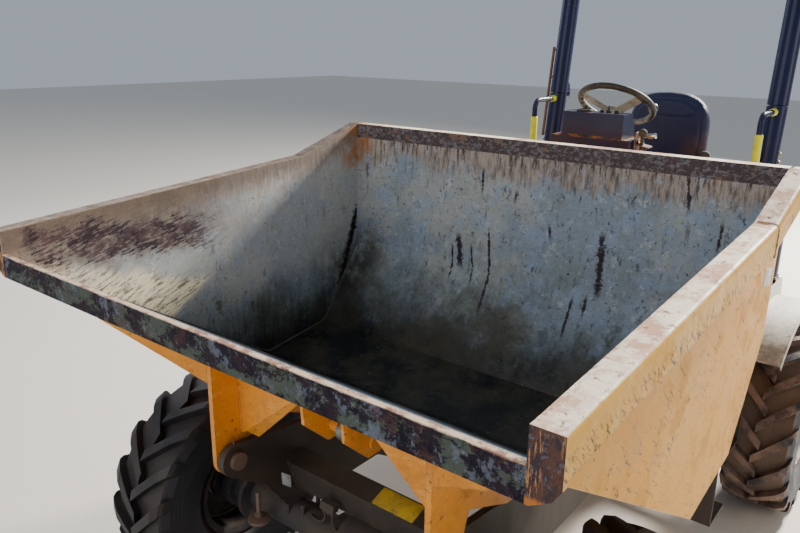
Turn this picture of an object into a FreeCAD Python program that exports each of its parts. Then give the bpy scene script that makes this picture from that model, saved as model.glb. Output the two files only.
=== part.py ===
import FreeCAD, Part
import math
import os

# Articulated front-tip site dumper, three-tonne class.
# Millimetres. X points to the vehicle's left, Y backwards, Z up.
# Every place along the vehicle is written as its distance behind the skip's front lip.

# Whole vehicle
LENGTH = 3880.0
FRONT_AXLE = 700.0
REAR_AXLE = 2675.0
PIVOT = 1690.0
PIVOT_Z = 600.0
HALF_TRACK = 805.0
RUN = 0.3
PLATE = 8.0

# Tyres and wheels
TYRE_R = 430.0
TYRE_W = 290.0
LUG_COUNT = 18
RIM_R = 205.0
RIM_W = 236.0
HUB_R = 95.0
HUB_BORE = 60.0
AXLE_Z = TYRE_R

# Skip, in the side view (distance behind the lip, height)
SKIP_HALF = 886.0
LIP_TOP = 1486.0
LIP_HEIGHT = 70.0
LIP_THICK = 14.0
SLOPE_TOP = (0.0, 1467.0)
FLOOR_FRONT = (1000.0, 828.0)
FLOOR_REAR = (1345.0, 872.0)
BACK_BEND = (1574.0, 1198.0)
BACK_TOP = (1587.0, 1749.0)
RIM_FRONT = (0.0, 1557.0)
RIM_KINK = (1236.0, 1641.0)
RAIL_W = 55.0
RAIL_H = 93.0
RAIL_ROUND = 13.0
BACK_RAIL_D = 45.0
BACK_RAIL_H = 60.0

# Tipping pin and the legs it carries
PIN = (430.0, 783.0)
PIN_R = 22.0
EYE_R = 58.0
EAR_INNER = 388.0
EAR_THICK = 24.0
LEG_GAP = 6.0
LEG_THICK = 20.0
WING_FROM = 384.0
WING_TO = 90.0
WING_LOW = 278.0
GUSSET_FOLD = 48.0

# Tipping ram
RAM_TOP = (560.0, 975.0)
RAM_BASE = (1160.0, 600.0)
RAM_BORE = 40.0
RAM_WALL = 9.0
RAM_ROD = 22.0
RAM_PIN = 20.0
RIB_AT = 75.0
RIB_THICK = 12.0
RAM_EYE_HALF = 30.0
RAM_COVER = 600.0
RAM_FOOT = 130.0

# Steering ram, seen from above (distance to the left, distance behind the lip)
STEER_TOP = (150.0, 1610.0)
STEER_BASE = (250.0, 2160.0)
STEER_BORE = 25.0
STEER_WALL = 5.0
STEER_ROD = 16.0
STEER_PIN = 14.0
STEER_COVER = 380.0
STEER_FOOT = 180.0

# Operator's place
FRAME_X = 340.0
FRAME_PLATE = 24.0
FRAME_LOW = 500.0
FRAME_TOP = 700.0
DECK_Z = 1040.0
SEAT_Z = 1400.0
SEAT_HALF = 225.0
WHEEL_CENTRE = (2336.0, 1842.0)
WHEEL_R = 176.0
WHEEL_TILT = 33.0
POST_X = 550.0
POST_R = 45.0
POST_AT = 2830.0
POST_LEAN = 8.0
HOOP_JOINT_Z = 1838.0
HOOP_TOP = 2750.0
EXHAUST_X = 455.0
FENDER_R = 560.0
STEP_X = (614.0, 743.0)
COVER_AXIS = (3708.0, 722.0)
FENDER_X = (692.0, 842.0)


def at(x, behind, z):
    """A point from its place across, behind the lip and above the ground."""
    return FreeCAD.Vector(x, behind - LENGTH / 2, z)


def block(x0, x1, d0, d1, z0, z1):
    return Part.makeBox(x1 - x0, d1 - d0, z1 - z0, at(x0, d0, z0))


def side_plate(points, x0, x1):
    """A plate cut to a side-view outline and x1 - x0 thick."""
    face = Part.Face(Part.makePolygon([at(x0, d, z) for d, z in points + points[:1]]))
    return face.extrude(FreeCAD.Vector(x1 - x0, 0, 0))


def cross_plate(points, d0, d1):
    """A plate cut to a front-view outline and d1 - d0 thick."""
    face = Part.Face(Part.makePolygon([at(x, d0, z) for x, z in points + points[:1]]))
    return face.extrude(FreeCAD.Vector(0, d1 - d0, 0))


def flat_plate(points, z0, z1):
    """A plate cut to an outline seen from above and z1 - z0 thick."""
    face = Part.Face(Part.makePolygon([at(x, d, z0) for x, d in points + points[:1]]))
    return face.extrude(FreeCAD.Vector(0, 0, z1 - z0))


def across(place, radius, x0, x1):
    """A round bar along X."""
    return Part.makeCylinder(radius, x1 - x0, at(x0, *place), FreeCAD.Vector(1, 0, 0))


def along(x, z, radius, d0, d1):
    """A round bar along Y."""
    return Part.makeCylinder(radius, d1 - d0, at(x, d0, z), FreeCAD.Vector(0, 1, 0))


def upright(x, behind, radius, z0, z1):
    """A round bar along Z."""
    return Part.makeCylinder(radius, z1 - z0, at(x, behind, z0))


def bar(start, end, radius):
    """A round bar from one point to another."""
    line = end - start
    return Part.makeCylinder(radius, line.Length, start, line)


def join(shapes):
    whole = shapes[0].multiFuse(shapes[1:]) if len(shapes) > 1 else shapes[0]
    return whole.removeSplitter()


def mirrored(shape):
    return shape.mirror(FreeCAD.Vector(0, 0, 0), FreeCAD.Vector(1, 0, 0))


def both_sides(shape):
    return Part.makeCompound([shape, mirrored(shape)])


def bent_tube(points, radius, bend):
    """A round tube along straight runs joined by arcs of one bend radius."""
    edges = []
    start = points[0]
    for corner, after in zip(points[1:-1], points[2:]):
        before = (start - corner).normalize()
        onward = (after - corner).normalize()
        half = before.getAngle(onward) / 2
        reach = bend / math.tan(half)
        first = corner + before * reach
        last = corner + onward * reach
        middle = (before + onward).normalize()
        inner = corner + middle * (bend / math.sin(half) - bend)
        edges.append(Part.LineSegment(start, first).toShape())
        edges.append(Part.Arc(first, inner, last).toShape())
        start = last
    edges.append(Part.LineSegment(start, points[-1]).toShape())
    path = Part.Wire(edges)
    circle = Part.Wire(Part.makeCircle(radius, points[0], points[1] - points[0]))
    return path.makePipeShell([circle], True, False)


def offset_corner(before, corner, after, gap):
    """The corner of a line parallel to two runs, gap to the left of them."""
    a = (corner - before).normalize()
    b = (after - corner).normalize()
    left = FreeCAD.Vector(0, -a.z, a.y)
    other = FreeCAD.Vector(0, -b.z, b.y)
    return corner + (left + other) * (gap / (1 + left.dot(other)))


def folded_plate(points, bends, thick, x0, x1):
    """A plate folded along a side-view path, thick to the left of the path."""
    path = [at(x0, d, z) for d, z in points]
    ends = []
    for tip, inward in ((path[0], path[1]), (path[-1], path[-2])):
        run = (inward - tip).normalize()
        sign = 1 if tip == path[0] else -1
        ends.append(tip + FreeCAD.Vector(0, -run.z, run.y) * (thick * sign))
    upper = [ends[0]]
    for before, corner, after in zip(path, path[1:], path[2:]):
        upper.append(offset_corner(before, corner, after, thick))
    upper.append(ends[1])
    face = Part.Face(Part.makePolygon(path + upper[::-1] + path[:1]))
    solid = face.extrude(FreeCAD.Vector(x1 - x0, 0, 0))
    for number, radius in enumerate(bends):
        for place, size in ((path[number + 1], radius + thick), (upper[number + 1], radius)):
            edge = [e for e in solid.Edges
                    if abs(e.Vertexes[0].Point.y - place.y) < 0.01
                    and abs(e.Vertexes[-1].Point.y - place.y) < 0.01
                    and abs(e.Vertexes[0].Point.z - place.z) < 0.01
                    and abs(e.Vertexes[-1].Point.z - place.z) < 0.01]
            solid = solid.makeFillet(size, edge)
    return solid


def slope_z(behind):
    """Height of the sloping floor's underside."""
    fall = (FLOOR_FRONT[1] - SLOPE_TOP[1]) / (FLOOR_FRONT[0] - SLOPE_TOP[0])
    return SLOPE_TOP[1] + fall * (behind - SLOPE_TOP[0])


# Skip
def skip_floor():
    start = LIP_THICK
    path = [(start, slope_z(start)), FLOOR_FRONT, FLOOR_REAR]
    inner = SKIP_HALF - PLATE
    return folded_plate(path, [70.0], PLATE, -inner, inner)


def skip_back():
    inner = SKIP_HALF - PLATE
    plate = folded_plate([FLOOR_REAR, BACK_BEND, BACK_TOP], [110.0], PLATE, -inner, inner)
    rail = block(-inner, inner, BACK_TOP[0] - PLATE / 2, BACK_TOP[0] + BACK_RAIL_D,
                 BACK_TOP[1] - BACK_RAIL_H, BACK_TOP[1])
    return join([plate, rail])


def skip_side():
    front = LIP_THICK
    outline = [(front, slope_z(front)), FLOOR_FRONT, FLOOR_REAR, BACK_BEND, BACK_TOP,
               RIM_KINK, RIM_FRONT]
    plate = side_plate([(front, RIM_FRONT[1])] + outline[:6], SKIP_HALF - PLATE, SKIP_HALF)
    end = (BACK_TOP[0] + BACK_RAIL_D, BACK_TOP[1])
    top = [RIM_FRONT, RIM_KINK, BACK_TOP, end]
    low = [(d, z - RAIL_H) for d, z in top]
    rail = side_plate(top + low[::-1], SKIP_HALF, SKIP_HALF + RAIL_W)
    outer_edges = [e for e in rail.Edges if e.BoundBox.XMin > SKIP_HALF + RAIL_W - 0.1
                   and e.BoundBox.YLength > e.BoundBox.ZLength]
    rail = rail.makeFillet(RAIL_ROUND, outer_edges)
    bottom = LIP_TOP - LIP_HEIGHT
    cap = cross_plate([(SKIP_HALF - PLATE, RIM_FRONT[1]), (SKIP_HALF + RAIL_W, RIM_FRONT[1]),
                       (SKIP_HALF + RAIL_W, RIM_FRONT[1] - RAIL_H),
                       (SKIP_HALF + RAIL_W * 0.7, bottom + 22), (SKIP_HALF, bottom),
                       (SKIP_HALF - PLATE, bottom)], 0, LIP_THICK)
    return join([plate, rail, cap])


def skip_lip():
    bottom = LIP_TOP - LIP_HEIGHT
    nose = LIP_THICK + 40
    outline = [(0, bottom), (0, LIP_TOP), (LIP_THICK, LIP_TOP), (nose, slope_z(nose) + PLATE + 14),
               (nose, slope_z(nose) + PLATE + 5), (LIP_THICK, slope_z(LIP_THICK) + PLATE + 5),
               (LIP_THICK, bottom)]
    inner = SKIP_HALF - PLATE
    return side_plate(outline, -inner, inner)


def corner_wing(outer, under):
    """An upright plate from the leg's front out to the skip's front corner."""
    start = at(outer - 4, WING_FROM, 0)
    end = at(SKIP_HALF - PLATE - 4, WING_TO, 0)
    start_top = slope_z(WING_FROM) - under
    end_top = slope_z(WING_TO) - under
    corners = [(start, PIN[1] + WING_LOW), (end, end_top - 24), (end, end_top), (start, start_top)]
    face = Part.Face(Part.makePolygon([place + FreeCAD.Vector(0, 0, z) for place, z in corners + corners[:1]]))
    run = (end - start).normalize()
    forward = FreeCAD.Vector(run.y, -run.x, 0)
    wing = face.extrude(forward * PLATE)
    middle = start + (end - start) * 0.21 + FreeCAD.Vector(0, 0, start_top - 35)
    return wing.cut(Part.makeCylinder(10, 4 * PLATE, middle - forward * PLATE, forward))


def folded_gusset(inner, under):
    """A plate between the leg and the ram's rib, its lower edge folded back."""
    front = PIN[0] + EYE_R - 12
    top = slope_z(front + PLATE) - under
    rib = RIB_AT + RIB_THICK
    tip = (rib + 60, top - 90)
    root = (inner - 30, PIN[1] + 88)
    sheet = cross_plate([(inner, top), (inner, PIN[1] + 72), root, tip, (rib, top - 70), (rib, top)],
                        front, front + PLATE)
    low = at(root[0], front, root[1])
    high = at(tip[0], front, tip[1])
    run = (high - low).normalize()
    down = FreeCAD.Vector(-run.z, 0.9, run.x).normalize()
    strip = [low, high, high + down * (GUSSET_FOLD * 0.4), low + down * GUSSET_FOLD]
    face = Part.Face(Part.makePolygon(strip + strip[:1]))
    return join([sheet, face.extrude(run.cross(down) * -PLATE)])


def skip_leg():
    """One leg under the floor: plate with its rail, corner wing, folded gusset and pin boss."""
    inner = EAR_INNER + EAR_THICK + LEG_GAP
    outer = inner + LEG_THICK
    under = 1.0
    front = PIN[0] - EYE_R
    tail = FLOOR_FRONT[0] - 40
    outline = [(front, PIN[1]), (front, slope_z(front) - under), (tail, slope_z(tail) - under),
               (tail, slope_z(tail) - 50), (PIN[0] + 327, PIN[1] + 29), (PIN[0] + 118, PIN[1] + 122),
               (PIN[0] + 93, PIN[1] + 50), (PIN[0] + EYE_R, PIN[1])]
    leg = join([side_plate(outline, inner, outer), across(PIN, EYE_R, inner, outer)])
    boss = across(PIN, PIN_R + 14, outer, outer + 14)
    hole = across(PIN, PIN_R + RUN, inner - 1, outer + 15)
    return join([leg, boss, corner_wing(outer, under), folded_gusset(inner, under)]).cut(hole)


def skip_ram_bracket():
    """The two ribs that hold the ends of the ram's upper pin."""
    under = 1.0
    front = RAM_TOP[0] - 135
    rear = RAM_TOP[0] + 190
    outline = [(front, slope_z(front) - under), (front + 14, RAM_TOP[1] + 45),
               (RAM_TOP[0] - 20, RAM_TOP[1] - 48), (RAM_TOP[0] + 30, RAM_TOP[1] - 48),
               (rear, slope_z(rear) - under)]
    rib = side_plate(outline, RIB_AT, RIB_AT + RIB_THICK)
    gap = RAM_EYE_HALF + 4
    stub = across(RAM_TOP, RAM_PIN, gap, RIB_AT + RIB_THICK + 12)
    tie = side_plate([(rear - 70, slope_z(rear - 70) - under), (rear - 62, slope_z(rear - 62) - 60),
                      (rear - 50, slope_z(rear - 50) - 60), (rear - 50, slope_z(rear - 50) - under)],
                     -RIB_AT, RIB_AT)
    return join([rib, stub, mirrored(rib), mirrored(stub), tie])


# Front half of the chassis
def front_plate():
    low = (PIN[0] + 115, 631.0)
    nose = math.radians(235)
    toe = (PIN[0] + EYE_R * math.cos(nose), PIN[1] + EYE_R * math.sin(nose))
    outline = [(PIN[0], PIN[1] + EYE_R), (725, 802), (960, 742), (1480, 742), (1480, 470),
               (900, 470), (790, FRAME_LOW), (640, FRAME_LOW), low, toe]
    plate = join([side_plate(outline, EAR_INNER, EAR_INNER + EAR_THICK),
                  across(PIN, EYE_R, EAR_INNER, EAR_INNER + EAR_THICK)])
    return plate.cut(across(PIN, PIN_R, EAR_INNER - 1, EAR_INNER + EAR_THICK + 1))


def front_cross_tube():
    centre = at(0, 708, 624)
    tube = block(-EAR_INNER, EAR_INNER, 668, 748, 559, 689)
    tube.rotate(centre, FreeCAD.Vector(1, 0, 0), 18)
    return tube


def front_tail():
    """The cross wall that carries the swivel's bearing tube."""
    wall = block(-EAR_INNER, EAR_INNER, 1440, 1465, 470, 742)
    tube = along(0, PIVOT_Z, 75, 1332, PIVOT - 95)
    base_x = RAM_EYE_HALF + 4
    lug = side_plate([(RAM_BASE[0] - 45, RAM_BASE[1]), (RAM_BASE[0] - 20, RAM_BASE[1] + 45),
                      (RAM_BASE[0] + 60, RAM_BASE[1] + 55), (1440, 700), (1440, 560),
                      (RAM_BASE[0] + 20, RAM_BASE[1] - 45), (RAM_BASE[0] - 20, RAM_BASE[1] - 45)],
                     70, 90)
    boss = across(RAM_BASE, RAM_PIN + 14, base_x, 70)
    rest = join([wall, tube, lug, boss, mirrored(lug), mirrored(boss)])
    rest = rest.cut(along(0, PIVOT_Z, 45 + RUN, 1300, PIVOT))
    pin = across(RAM_BASE, RAM_PIN, -100, 100)
    return join([rest, pin])


def pivot_pins():
    """The two tipping pins, each with a head inside and a washer outside."""
    outer = EAR_INNER + EAR_THICK + LEG_GAP + LEG_THICK + 14
    pin = join([across(PIN, PIN_R, EAR_INNER - 8, outer + 10),
                across(PIN, PIN_R + 8, EAR_INNER - 16, EAR_INNER),
                across(PIN, PIN_R + 16, outer + 2, outer + 10)])
    return both_sides(pin)


def skip_buffers():
    """Rubber blocks on the chassis that the floor rests on."""
    pad = block(EAR_INNER - 30, EAR_INNER + EAR_THICK + 30, 1010, 1100, 742, 825)
    cut = side_plate([(990, 826.0), (1000, 826.4), (1110, 840.4), (1110, 900), (990, 900)],
                     EAR_INNER - 40, EAR_INNER + EAR_THICK + 40)
    return both_sides(pad.cut(cut))


def axle(behind, saddle_x, saddle_w, drive):
    """A drive axle: beam, final drive, motor, saddles and hubs."""
    place = (behind, AXLE_Z)
    end = HALF_TRACK - RIM_W / 2 + 40
    pieces = [across(place, 60, -end, end), across(place, 112, -130, 130),
              across(place, 85, -190, 190)]
    for x0, x1, r in ((end - 40, end, 90), (end - 130, end - 112, 105)):
        pieces.append(across(place, r, x0, x1))
        pieces.append(across(place, r, -x1, -x0))
    near, far = sorted((behind + drive * 60, behind + drive * 250))
    pieces.append(along(0, AXLE_Z - 15, 62, near, far))
    for sign in (-1, 1):
        x0 = sign * saddle_x if sign > 0 else -saddle_x - saddle_w
        pieces.append(block(x0, x0 + saddle_w, behind - 55, behind + 55, AXLE_Z, FRAME_LOW))
    spindle = HUB_BORE - RUN
    pieces.append(across(place, spindle, -HALF_TRACK - 20, HALF_TRACK + 20))
    return join(pieces)


# Wheels
def turned(profile, side, behind):
    """A ring turned from (radius, distance outwards) points about a wheel's axis."""
    centre = at(side * HALF_TRACK, behind, AXLE_Z)
    points = [centre + FreeCAD.Vector(side * w, 0, r) for r, w in profile]
    face = Part.Face(Part.makePolygon(points + points[:1]))
    return face.revolve(centre, FreeCAD.Vector(1, 0, 0), 360)


def tyre(side, behind):
    """A hollow tyre with two rows of slanted lugs."""
    half = TYRE_W / 2
    bead = RIM_R - 14
    outer = [(bead, half - 44), (bead + 17, half - 43), (bead + 40, half - 14), (TYRE_R - 120, half),
             (TYRE_R - 60, half - 5),
             (TYRE_R - 30, half - 26)]
    inner = [(bead, half - 64), (bead + 42, half - 38), (TYRE_R - 120, half - 24),
             (TYRE_R - 66, half - 32), (TYRE_R - 52, half - 56)]
    ring = outer + [(r, -w) for r, w in outer[::-1]]
    ring += [(r, -w) for r, w in inner] + inner[::-1]
    carcass = turned(ring, side, behind)

    crown = [(TYRE_R - 46, half - 42), (TYRE_R - 68, half - 3), (TYRE_R - 26, half - 3),
             (TYRE_R - 10, half - 10), (TYRE_R, half - 40)]
    envelope = turned([(r, -w) for r, w in crown] + crown[::-1], side, behind)
    centre = at(side * HALF_TRACK, behind, AXLE_Z)
    plan = [(-14, -100), (-14, -60), (half, 98), (half, 52)]
    lugs = []
    for row in (-1, 1):
        base = centre + FreeCAD.Vector(0, 0, TYRE_R - 74)
        points = [base + FreeCAD.Vector(row * w, t, 0) for w, t in plan]
        prism = Part.Face(Part.makePolygon(points + points[:1])).extrude(FreeCAD.Vector(0, 0, 90))
        lug = prism.common(envelope)
        for number in range(LUG_COUNT):
            copy = lug.copy()
            turn = (number + 0.25 * row) * 360.0 / LUG_COUNT
            copy.rotate(centre, FreeCAD.Vector(1, 0, 0), turn)
            lugs.append(copy)
    return join([carcass] + lugs)


def wheel(side, behind):
    """A dished disc wheel with its rim and hub, the dish facing outwards."""
    half = RIM_W / 2
    seat = RIM_R - 14
    disc = 20.0
    profile = [(HUB_BORE, -30), (HUB_BORE, 40), (0, 40), (0, 62), (HUB_R - 10, 62), (HUB_R, 40), (HUB_R + 30, 40),
               (seat - 25, disc), (seat - 14, disc + 6), (seat - 10, half - 10),
               (RIM_R - 6, half), (RIM_R, half), (RIM_R, half - 10), (seat - 0.5, half - 16),
               (seat - 0.5, -half + 16), (RIM_R, -half + 10), (RIM_R, -half), (RIM_R - 6, -half),
               (seat - 10, -half + 10), (seat - 14, disc - 14), (seat - 30, disc - 16),
               (HUB_R + 30, 24), (HUB_R, 20), (HUB_R, -30)]
    return turned(profile, side, behind)


# Rams
def ram_barrel(base, top, bore, wall, eye_r, pin_r, eye_half, eye_axis, cover):
    """The barrel with its base eye, from the base pin to the gland."""
    line = top - base
    way = FreeCAD.Vector(line).normalize()
    mouth = base + way * cover
    neck = bar(base + way * (eye_r * 0.6), base + way * (eye_r + 20), eye_half - 4)
    tube = bar(base + way * (eye_r + 10), mouth, bore + wall)
    gland = bar(mouth - way * 40, mouth, bore + wall + 3)
    eye = Part.makeCylinder(eye_r, 2 * eye_half, base - eye_axis * eye_half, eye_axis)
    hollow = bar(base + way * (eye_r + 22), mouth - way * 20, bore)
    hole = Part.makeCylinder(pin_r + RUN, 4 * eye_half, base - eye_axis * (2 * eye_half), eye_axis)
    return join([tube, gland, eye, neck]).cut(hollow).cut(hole)


def ram_rod(base, top, bore, rod_r, eye_r, eye_half, eye_axis, reach):
    """The piston, rod and upper eye with the middle of its pin."""
    line = top - base
    way = FreeCAD.Vector(line).normalize()
    foot = base + way * reach
    head = bar(foot, foot + way * 60, bore - RUN)
    stem = bar(foot, top, rod_r)
    eye = Part.makeCylinder(eye_r, 2 * eye_half, top - eye_axis * eye_half, eye_axis)
    return join([head, stem, eye])


def gland_hole(shape, base, top, rod_r, cover):
    way = FreeCAD.Vector(top - base).normalize()
    return shape.cut(bar(base + way * (cover - 60), base + way * (cover + 5), rod_r + RUN))


# Articulation
def knuckle():
    """The block that steers on the upright pin and swivels on its spigot."""
    body = block(-75, 75, PIVOT - 90, PIVOT + 85, PIVOT_Z - 80, PIVOT_Z + 80)
    spigot = along(0, PIVOT_Z, 45, 1300, PIVOT - 80)
    nut = along(0, PIVOT_Z, 62, 1288, 1326)
    arms = []
    for z0 in (PIVOT_Z - 50, PIVOT_Z + 30):
        arm = flat_plate([(60, PIVOT - 85), (STEER_TOP[0], STEER_TOP[1] - 32),
                          (STEER_TOP[0] + 20, STEER_TOP[1] - 25), (STEER_TOP[0] + 32, STEER_TOP[1]),
                          (STEER_TOP[0] + 20, STEER_TOP[1] + 25), (STEER_TOP[0], STEER_TOP[1] + 32),
                          (60, PIVOT + 60)], z0, z0 + 20)
        arms.append(arm)
    stubs = [upright(*STEER_TOP, STEER_PIN, PIVOT_Z - 60, PIVOT_Z - 26),
             upright(*STEER_TOP, STEER_PIN, PIVOT_Z + 26, PIVOT_Z + 60)]
    bore = upright(0, PIVOT, 30 + RUN, PIVOT_Z - 100, PIVOT_Z + 100)
    return join([body, spigot, nut] + arms + stubs).cut(bore)


def rear_nose():
    """Two rounded ears and the cross wall they stand on."""
    ears = []
    for z0 in (PIVOT_Z - 117, PIVOT_Z + 92):
        ear = flat_plate([(-62, PIVOT - 32), (62, PIVOT - 32), (200, 1900), (-200, 1900)], z0, z0 + 25)
        ears += [ear, upright(0, PIVOT, 70, z0, z0 + 25)]
    wall = block(-FRAME_X, FRAME_X, 1900, 1920, 460, 760)
    base_lugs = [flat_plate([(STEER_BASE[0] - 40, 1920), (STEER_BASE[0] + 40, 1920),
                             (STEER_BASE[0] + 30, STEER_BASE[1] + 25),
                             (STEER_BASE[0] - 30, STEER_BASE[1] + 25)], z0, z0 + 16)
                 for z0 in (PIVOT_Z - 56, PIVOT_Z + 40)]
    window = block(STEER_BASE[0] - 125, STEER_BASE[0] + 45, 1895, 1925, PIVOT_Z - 40, PIVOT_Z + 40)
    wall = wall.cut(window)
    pin = upright(*STEER_BASE, STEER_PIN, PIVOT_Z - 66, PIVOT_Z + 66)
    nose = join(ears + [wall] + base_lugs)
    nose = nose.cut(upright(0, PIVOT, 30, PIVOT_Z - 150, PIVOT_Z + 150))
    return join([nose, pin])


def steer_pin():
    pin = upright(0, PIVOT, 30, PIVOT_Z - 128, PIVOT_Z + 128)
    head = upright(0, PIVOT, 45, PIVOT_Z + 117, PIVOT_Z + 135)
    return join([pin, head])


# Rear half of the chassis
def rear_plate():
    outline = [(1920, 500), (1920, 760), (2100, FRAME_TOP), (3700, FRAME_TOP), (3700, FRAME_LOW)]
    plate = side_plate(outline, FRAME_X, FRAME_X + FRAME_PLATE)
    return plate.cut(across((3500, 600), 20, FRAME_X - 1, FRAME_X + FRAME_PLATE + 1))


def front_shaft():
    """The drive shaft under the front tail, from the final drive to its hanger."""
    z = AXLE_Z - 15
    pieces = [along(0, z, 30, FRONT_AXLE + 250, 1560), along(0, z, 44, FRONT_AXLE + 250, FRONT_AXLE + 300),
              along(0, z, 44, 1530, 1590)]
    hanger = cross_plate([(-70, z - 48), (-70, 470), (70, 470), (70, z - 48)], 1440, 1465)
    return join(pieces + [hanger])


def rear_shaft():
    """The drive shaft from the drop box's hanger back to the rear axle."""
    z = AXLE_Z - 15
    pieces = [along(0, z, 30, 1800, REAR_AXLE - 250), along(0, z, 44, 1790, 1850),
              along(0, z, 44, REAR_AXLE - 300, REAR_AXLE - 250)]
    hanger = cross_plate([(-80, z - 48), (-80, 460), (80, 460), (80, z - 48)], 1900, 1920)
    return join(pieces + [hanger])


def silencer():
    """The exhaust's can beside the cover, on a shelf from the frame."""
    shelf = block(FRAME_X, EXHAUST_X + 30, 3200, 3240, FRAME_TOP, FRAME_TOP + 8)
    rest = block(EXHAUST_X - 30, EXHAUST_X + 30, 3200, 3240, FRAME_TOP, FRAME_TOP + 44)
    return join([silencer_can(), shelf, rest])


def silencer_can():
    return along(EXHAUST_X, 790, 55, 3120, 3420)


def tail_pipe():
    pipe = bent_tube([at(EXHAUST_X, 3390, 790), at(EXHAUST_X, 3390, 1440), at(EXHAUST_X, 3450, 1500)], 24, 60)
    return pipe.cut(silencer_can())


def counterweight():
    outline = [(-420, 420), (-420, 665), (-380, 705), (380, 705), (420, 665), (420, 420),
               (360, 380), (-360, 380)]
    slab = cross_plate(outline, 3700, 3800)
    lug = side_plate([(3700, 705), (3700, 728), (3716, 728), (3730, 705)], 250, 270)
    pin = across(COVER_AXIS, 6, 250, 300)
    return join([slab, lug, pin, mirrored(lug), mirrored(pin)])


def tow_jaw():
    pieces = [block(-60, 60, 3800, 3812, 470, 610)]
    for z0 in (480.0, 580.0):
        tongue = flat_plate([(-50, 3812), (50, 3812), (50, LENGTH - 30), (30, LENGTH),
                             (-30, LENGTH), (-50, LENGTH - 30)], z0, z0 + 20)
        pieces.append(tongue)
    return join(pieces).cut(upright(0, LENGTH - 38, 16, 470, 620))


def step():
    """Three treads between a front and a rear cheek, open to the side."""
    x0, x1 = STEP_X
    front = cross_plate([(x0, 200), (x0, 768), (x1, 768), (x1, 200)], 1930, 1938)
    rear = cross_plate([(x0, 300), (x0, 768), (x1, 768), (x1, 480), (x0 + 40, 300)], 2190, 2198)
    treads = [block(x0, x1, 1930, 2120, 200, 208), block(x0, x1, 1930, 2198, 480, 488),
              block(x0, x1, 1930, 2198, 760, 768)]
    kick = side_plate([(1930, 200), (1930, 488), (2190, 488), (2120, 200)], x0, x0 + 6)
    return join([front, rear, kick] + treads)


def tank():
    x0 = FRAME_X + FRAME_PLATE
    box = block(x0, 614, 1945, 2205, 430, 775)
    box = box.makeFillet(30, [e for e in box.Edges if e.Length > 340])
    box = box.cut(block(x0 + 5, 609, 1950, 2200, 435, 770))
    neck = upright(x0 + 120, 2090, 38, 774, 800)
    cap = upright(x0 + 120, 2090, 48, 800, 820)
    return join([box, neck, cap])


def body_shell():
    """The housing under the deck and the seat."""
    outline = [(2110, FRAME_TOP), (2110, DECK_Z - 6), (2650, DECK_Z - 6), (2650, SEAT_Z - 60),
               (2670, SEAT_Z - 40), (3050, SEAT_Z - 40), (3050, FRAME_TOP)]
    inside = [(2116, FRAME_TOP - 5), (2116, DECK_Z - 12), (2656, DECK_Z - 12), (2656, SEAT_Z - 62),
              (2672, SEAT_Z - 46), (3044, SEAT_Z - 46), (3044, FRAME_TOP - 5)]
    half = FRAME_X + FRAME_PLATE / 2
    return side_plate(outline, -half, half).cut(side_plate(inside, 6 - half, half - 6))


def deck():
    """The foot plate with its turned-down edges."""
    plate = block(-560, 560, 2110, 2650, DECK_Z - 6, DECK_Z)
    front = block(-560, 560, 2104, 2110, DECK_Z - 60, DECK_Z)
    edge = block(554, 560, 2110, 2650, DECK_Z - 60, DECK_Z - 6)
    return join([plate, front, edge, mirrored(edge)])


def console():
    """The steering pedestal, wider below its ledge."""
    lower = side_plate([(2120, DECK_Z), (2080, 1720), (2230, 1720), (2290, DECK_Z)], -180, 180)
    lower = lower.cut(side_plate([(2125, DECK_Z - 5), (2086, 1715), (2226, 1715), (2285, DECK_Z - 5)],
                                 -175, 175))
    upper = side_plate([(2090, 1719), (2094, 1822), (2190, 1822), (2225, 1719)], -138, 138)
    tilt = math.radians(WHEEL_TILT)
    hub = at(0, *WHEEL_CENTRE)
    way = FreeCAD.Vector(0, math.sin(tilt), math.cos(tilt))
    column = bar(hub - way * 230, hub - way * 60, 30)
    return join([lower, upper, column])


def steering_wheel():
    """Rim, three flat spokes and hub, tilted to the driver."""
    centre = at(0, 0, 0) * 0
    rim = Part.makeTorus(WHEEL_R - 14, 14)
    spokes = []
    for angle in (90, 210, 330):
        spoke = Part.makeBox(WHEEL_R - 14, 44, 6, FreeCAD.Vector(0, -22, -46))
        spoke.rotate(FreeCAD.Vector(0, 0, -42), FreeCAD.Vector(0, 1, 0), -14)
        spoke.rotate(centre, FreeCAD.Vector(0, 0, 1), angle)
        spokes.append(spoke)
    hub = Part.makeCylinder(38, 30, FreeCAD.Vector(0, 0, -60))
    knob = join([Part.makeCylinder(7, 40, FreeCAD.Vector(WHEEL_R - 14, 0, 0)),
                 Part.makeSphere(22, FreeCAD.Vector(WHEEL_R - 14, 0, 48))])
    knob.rotate(centre, FreeCAD.Vector(0, 0, 1), 38)
    whole = join([rim, hub, knob] + spokes)
    whole.rotate(centre, FreeCAD.Vector(1, 0, 0), -WHEEL_TILT)
    whole.translate(at(0, *WHEEL_CENTRE))
    return whole


def seat():
    """Cushion and rounded back."""
    cushion = block(-SEAT_HALF, SEAT_HALF, 2660, 3030, SEAT_Z, SEAT_Z + 100)
    cushion = cushion.makeFillet(35, [e for e in cushion.Edges
                                      if e.Vertexes[0].Point.z > SEAT_Z + 99
                                      and e.Vertexes[-1].Point.z > SEAT_Z + 99])
    back = block(-SEAT_HALF, SEAT_HALF, 3000, 3090, SEAT_Z + 40, SEAT_Z + 483)
    top_edges = [e for e in back.Edges if abs(e.Length - 90) < 0.1
                 and e.Vertexes[0].Point.z > SEAT_Z + 400]
    back = back.makeFillet(150, top_edges)
    return join([cushion, back])


def seat_mount():
    return block(-150, 150, 2720, 3000, SEAT_Z - 40, SEAT_Z)


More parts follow.
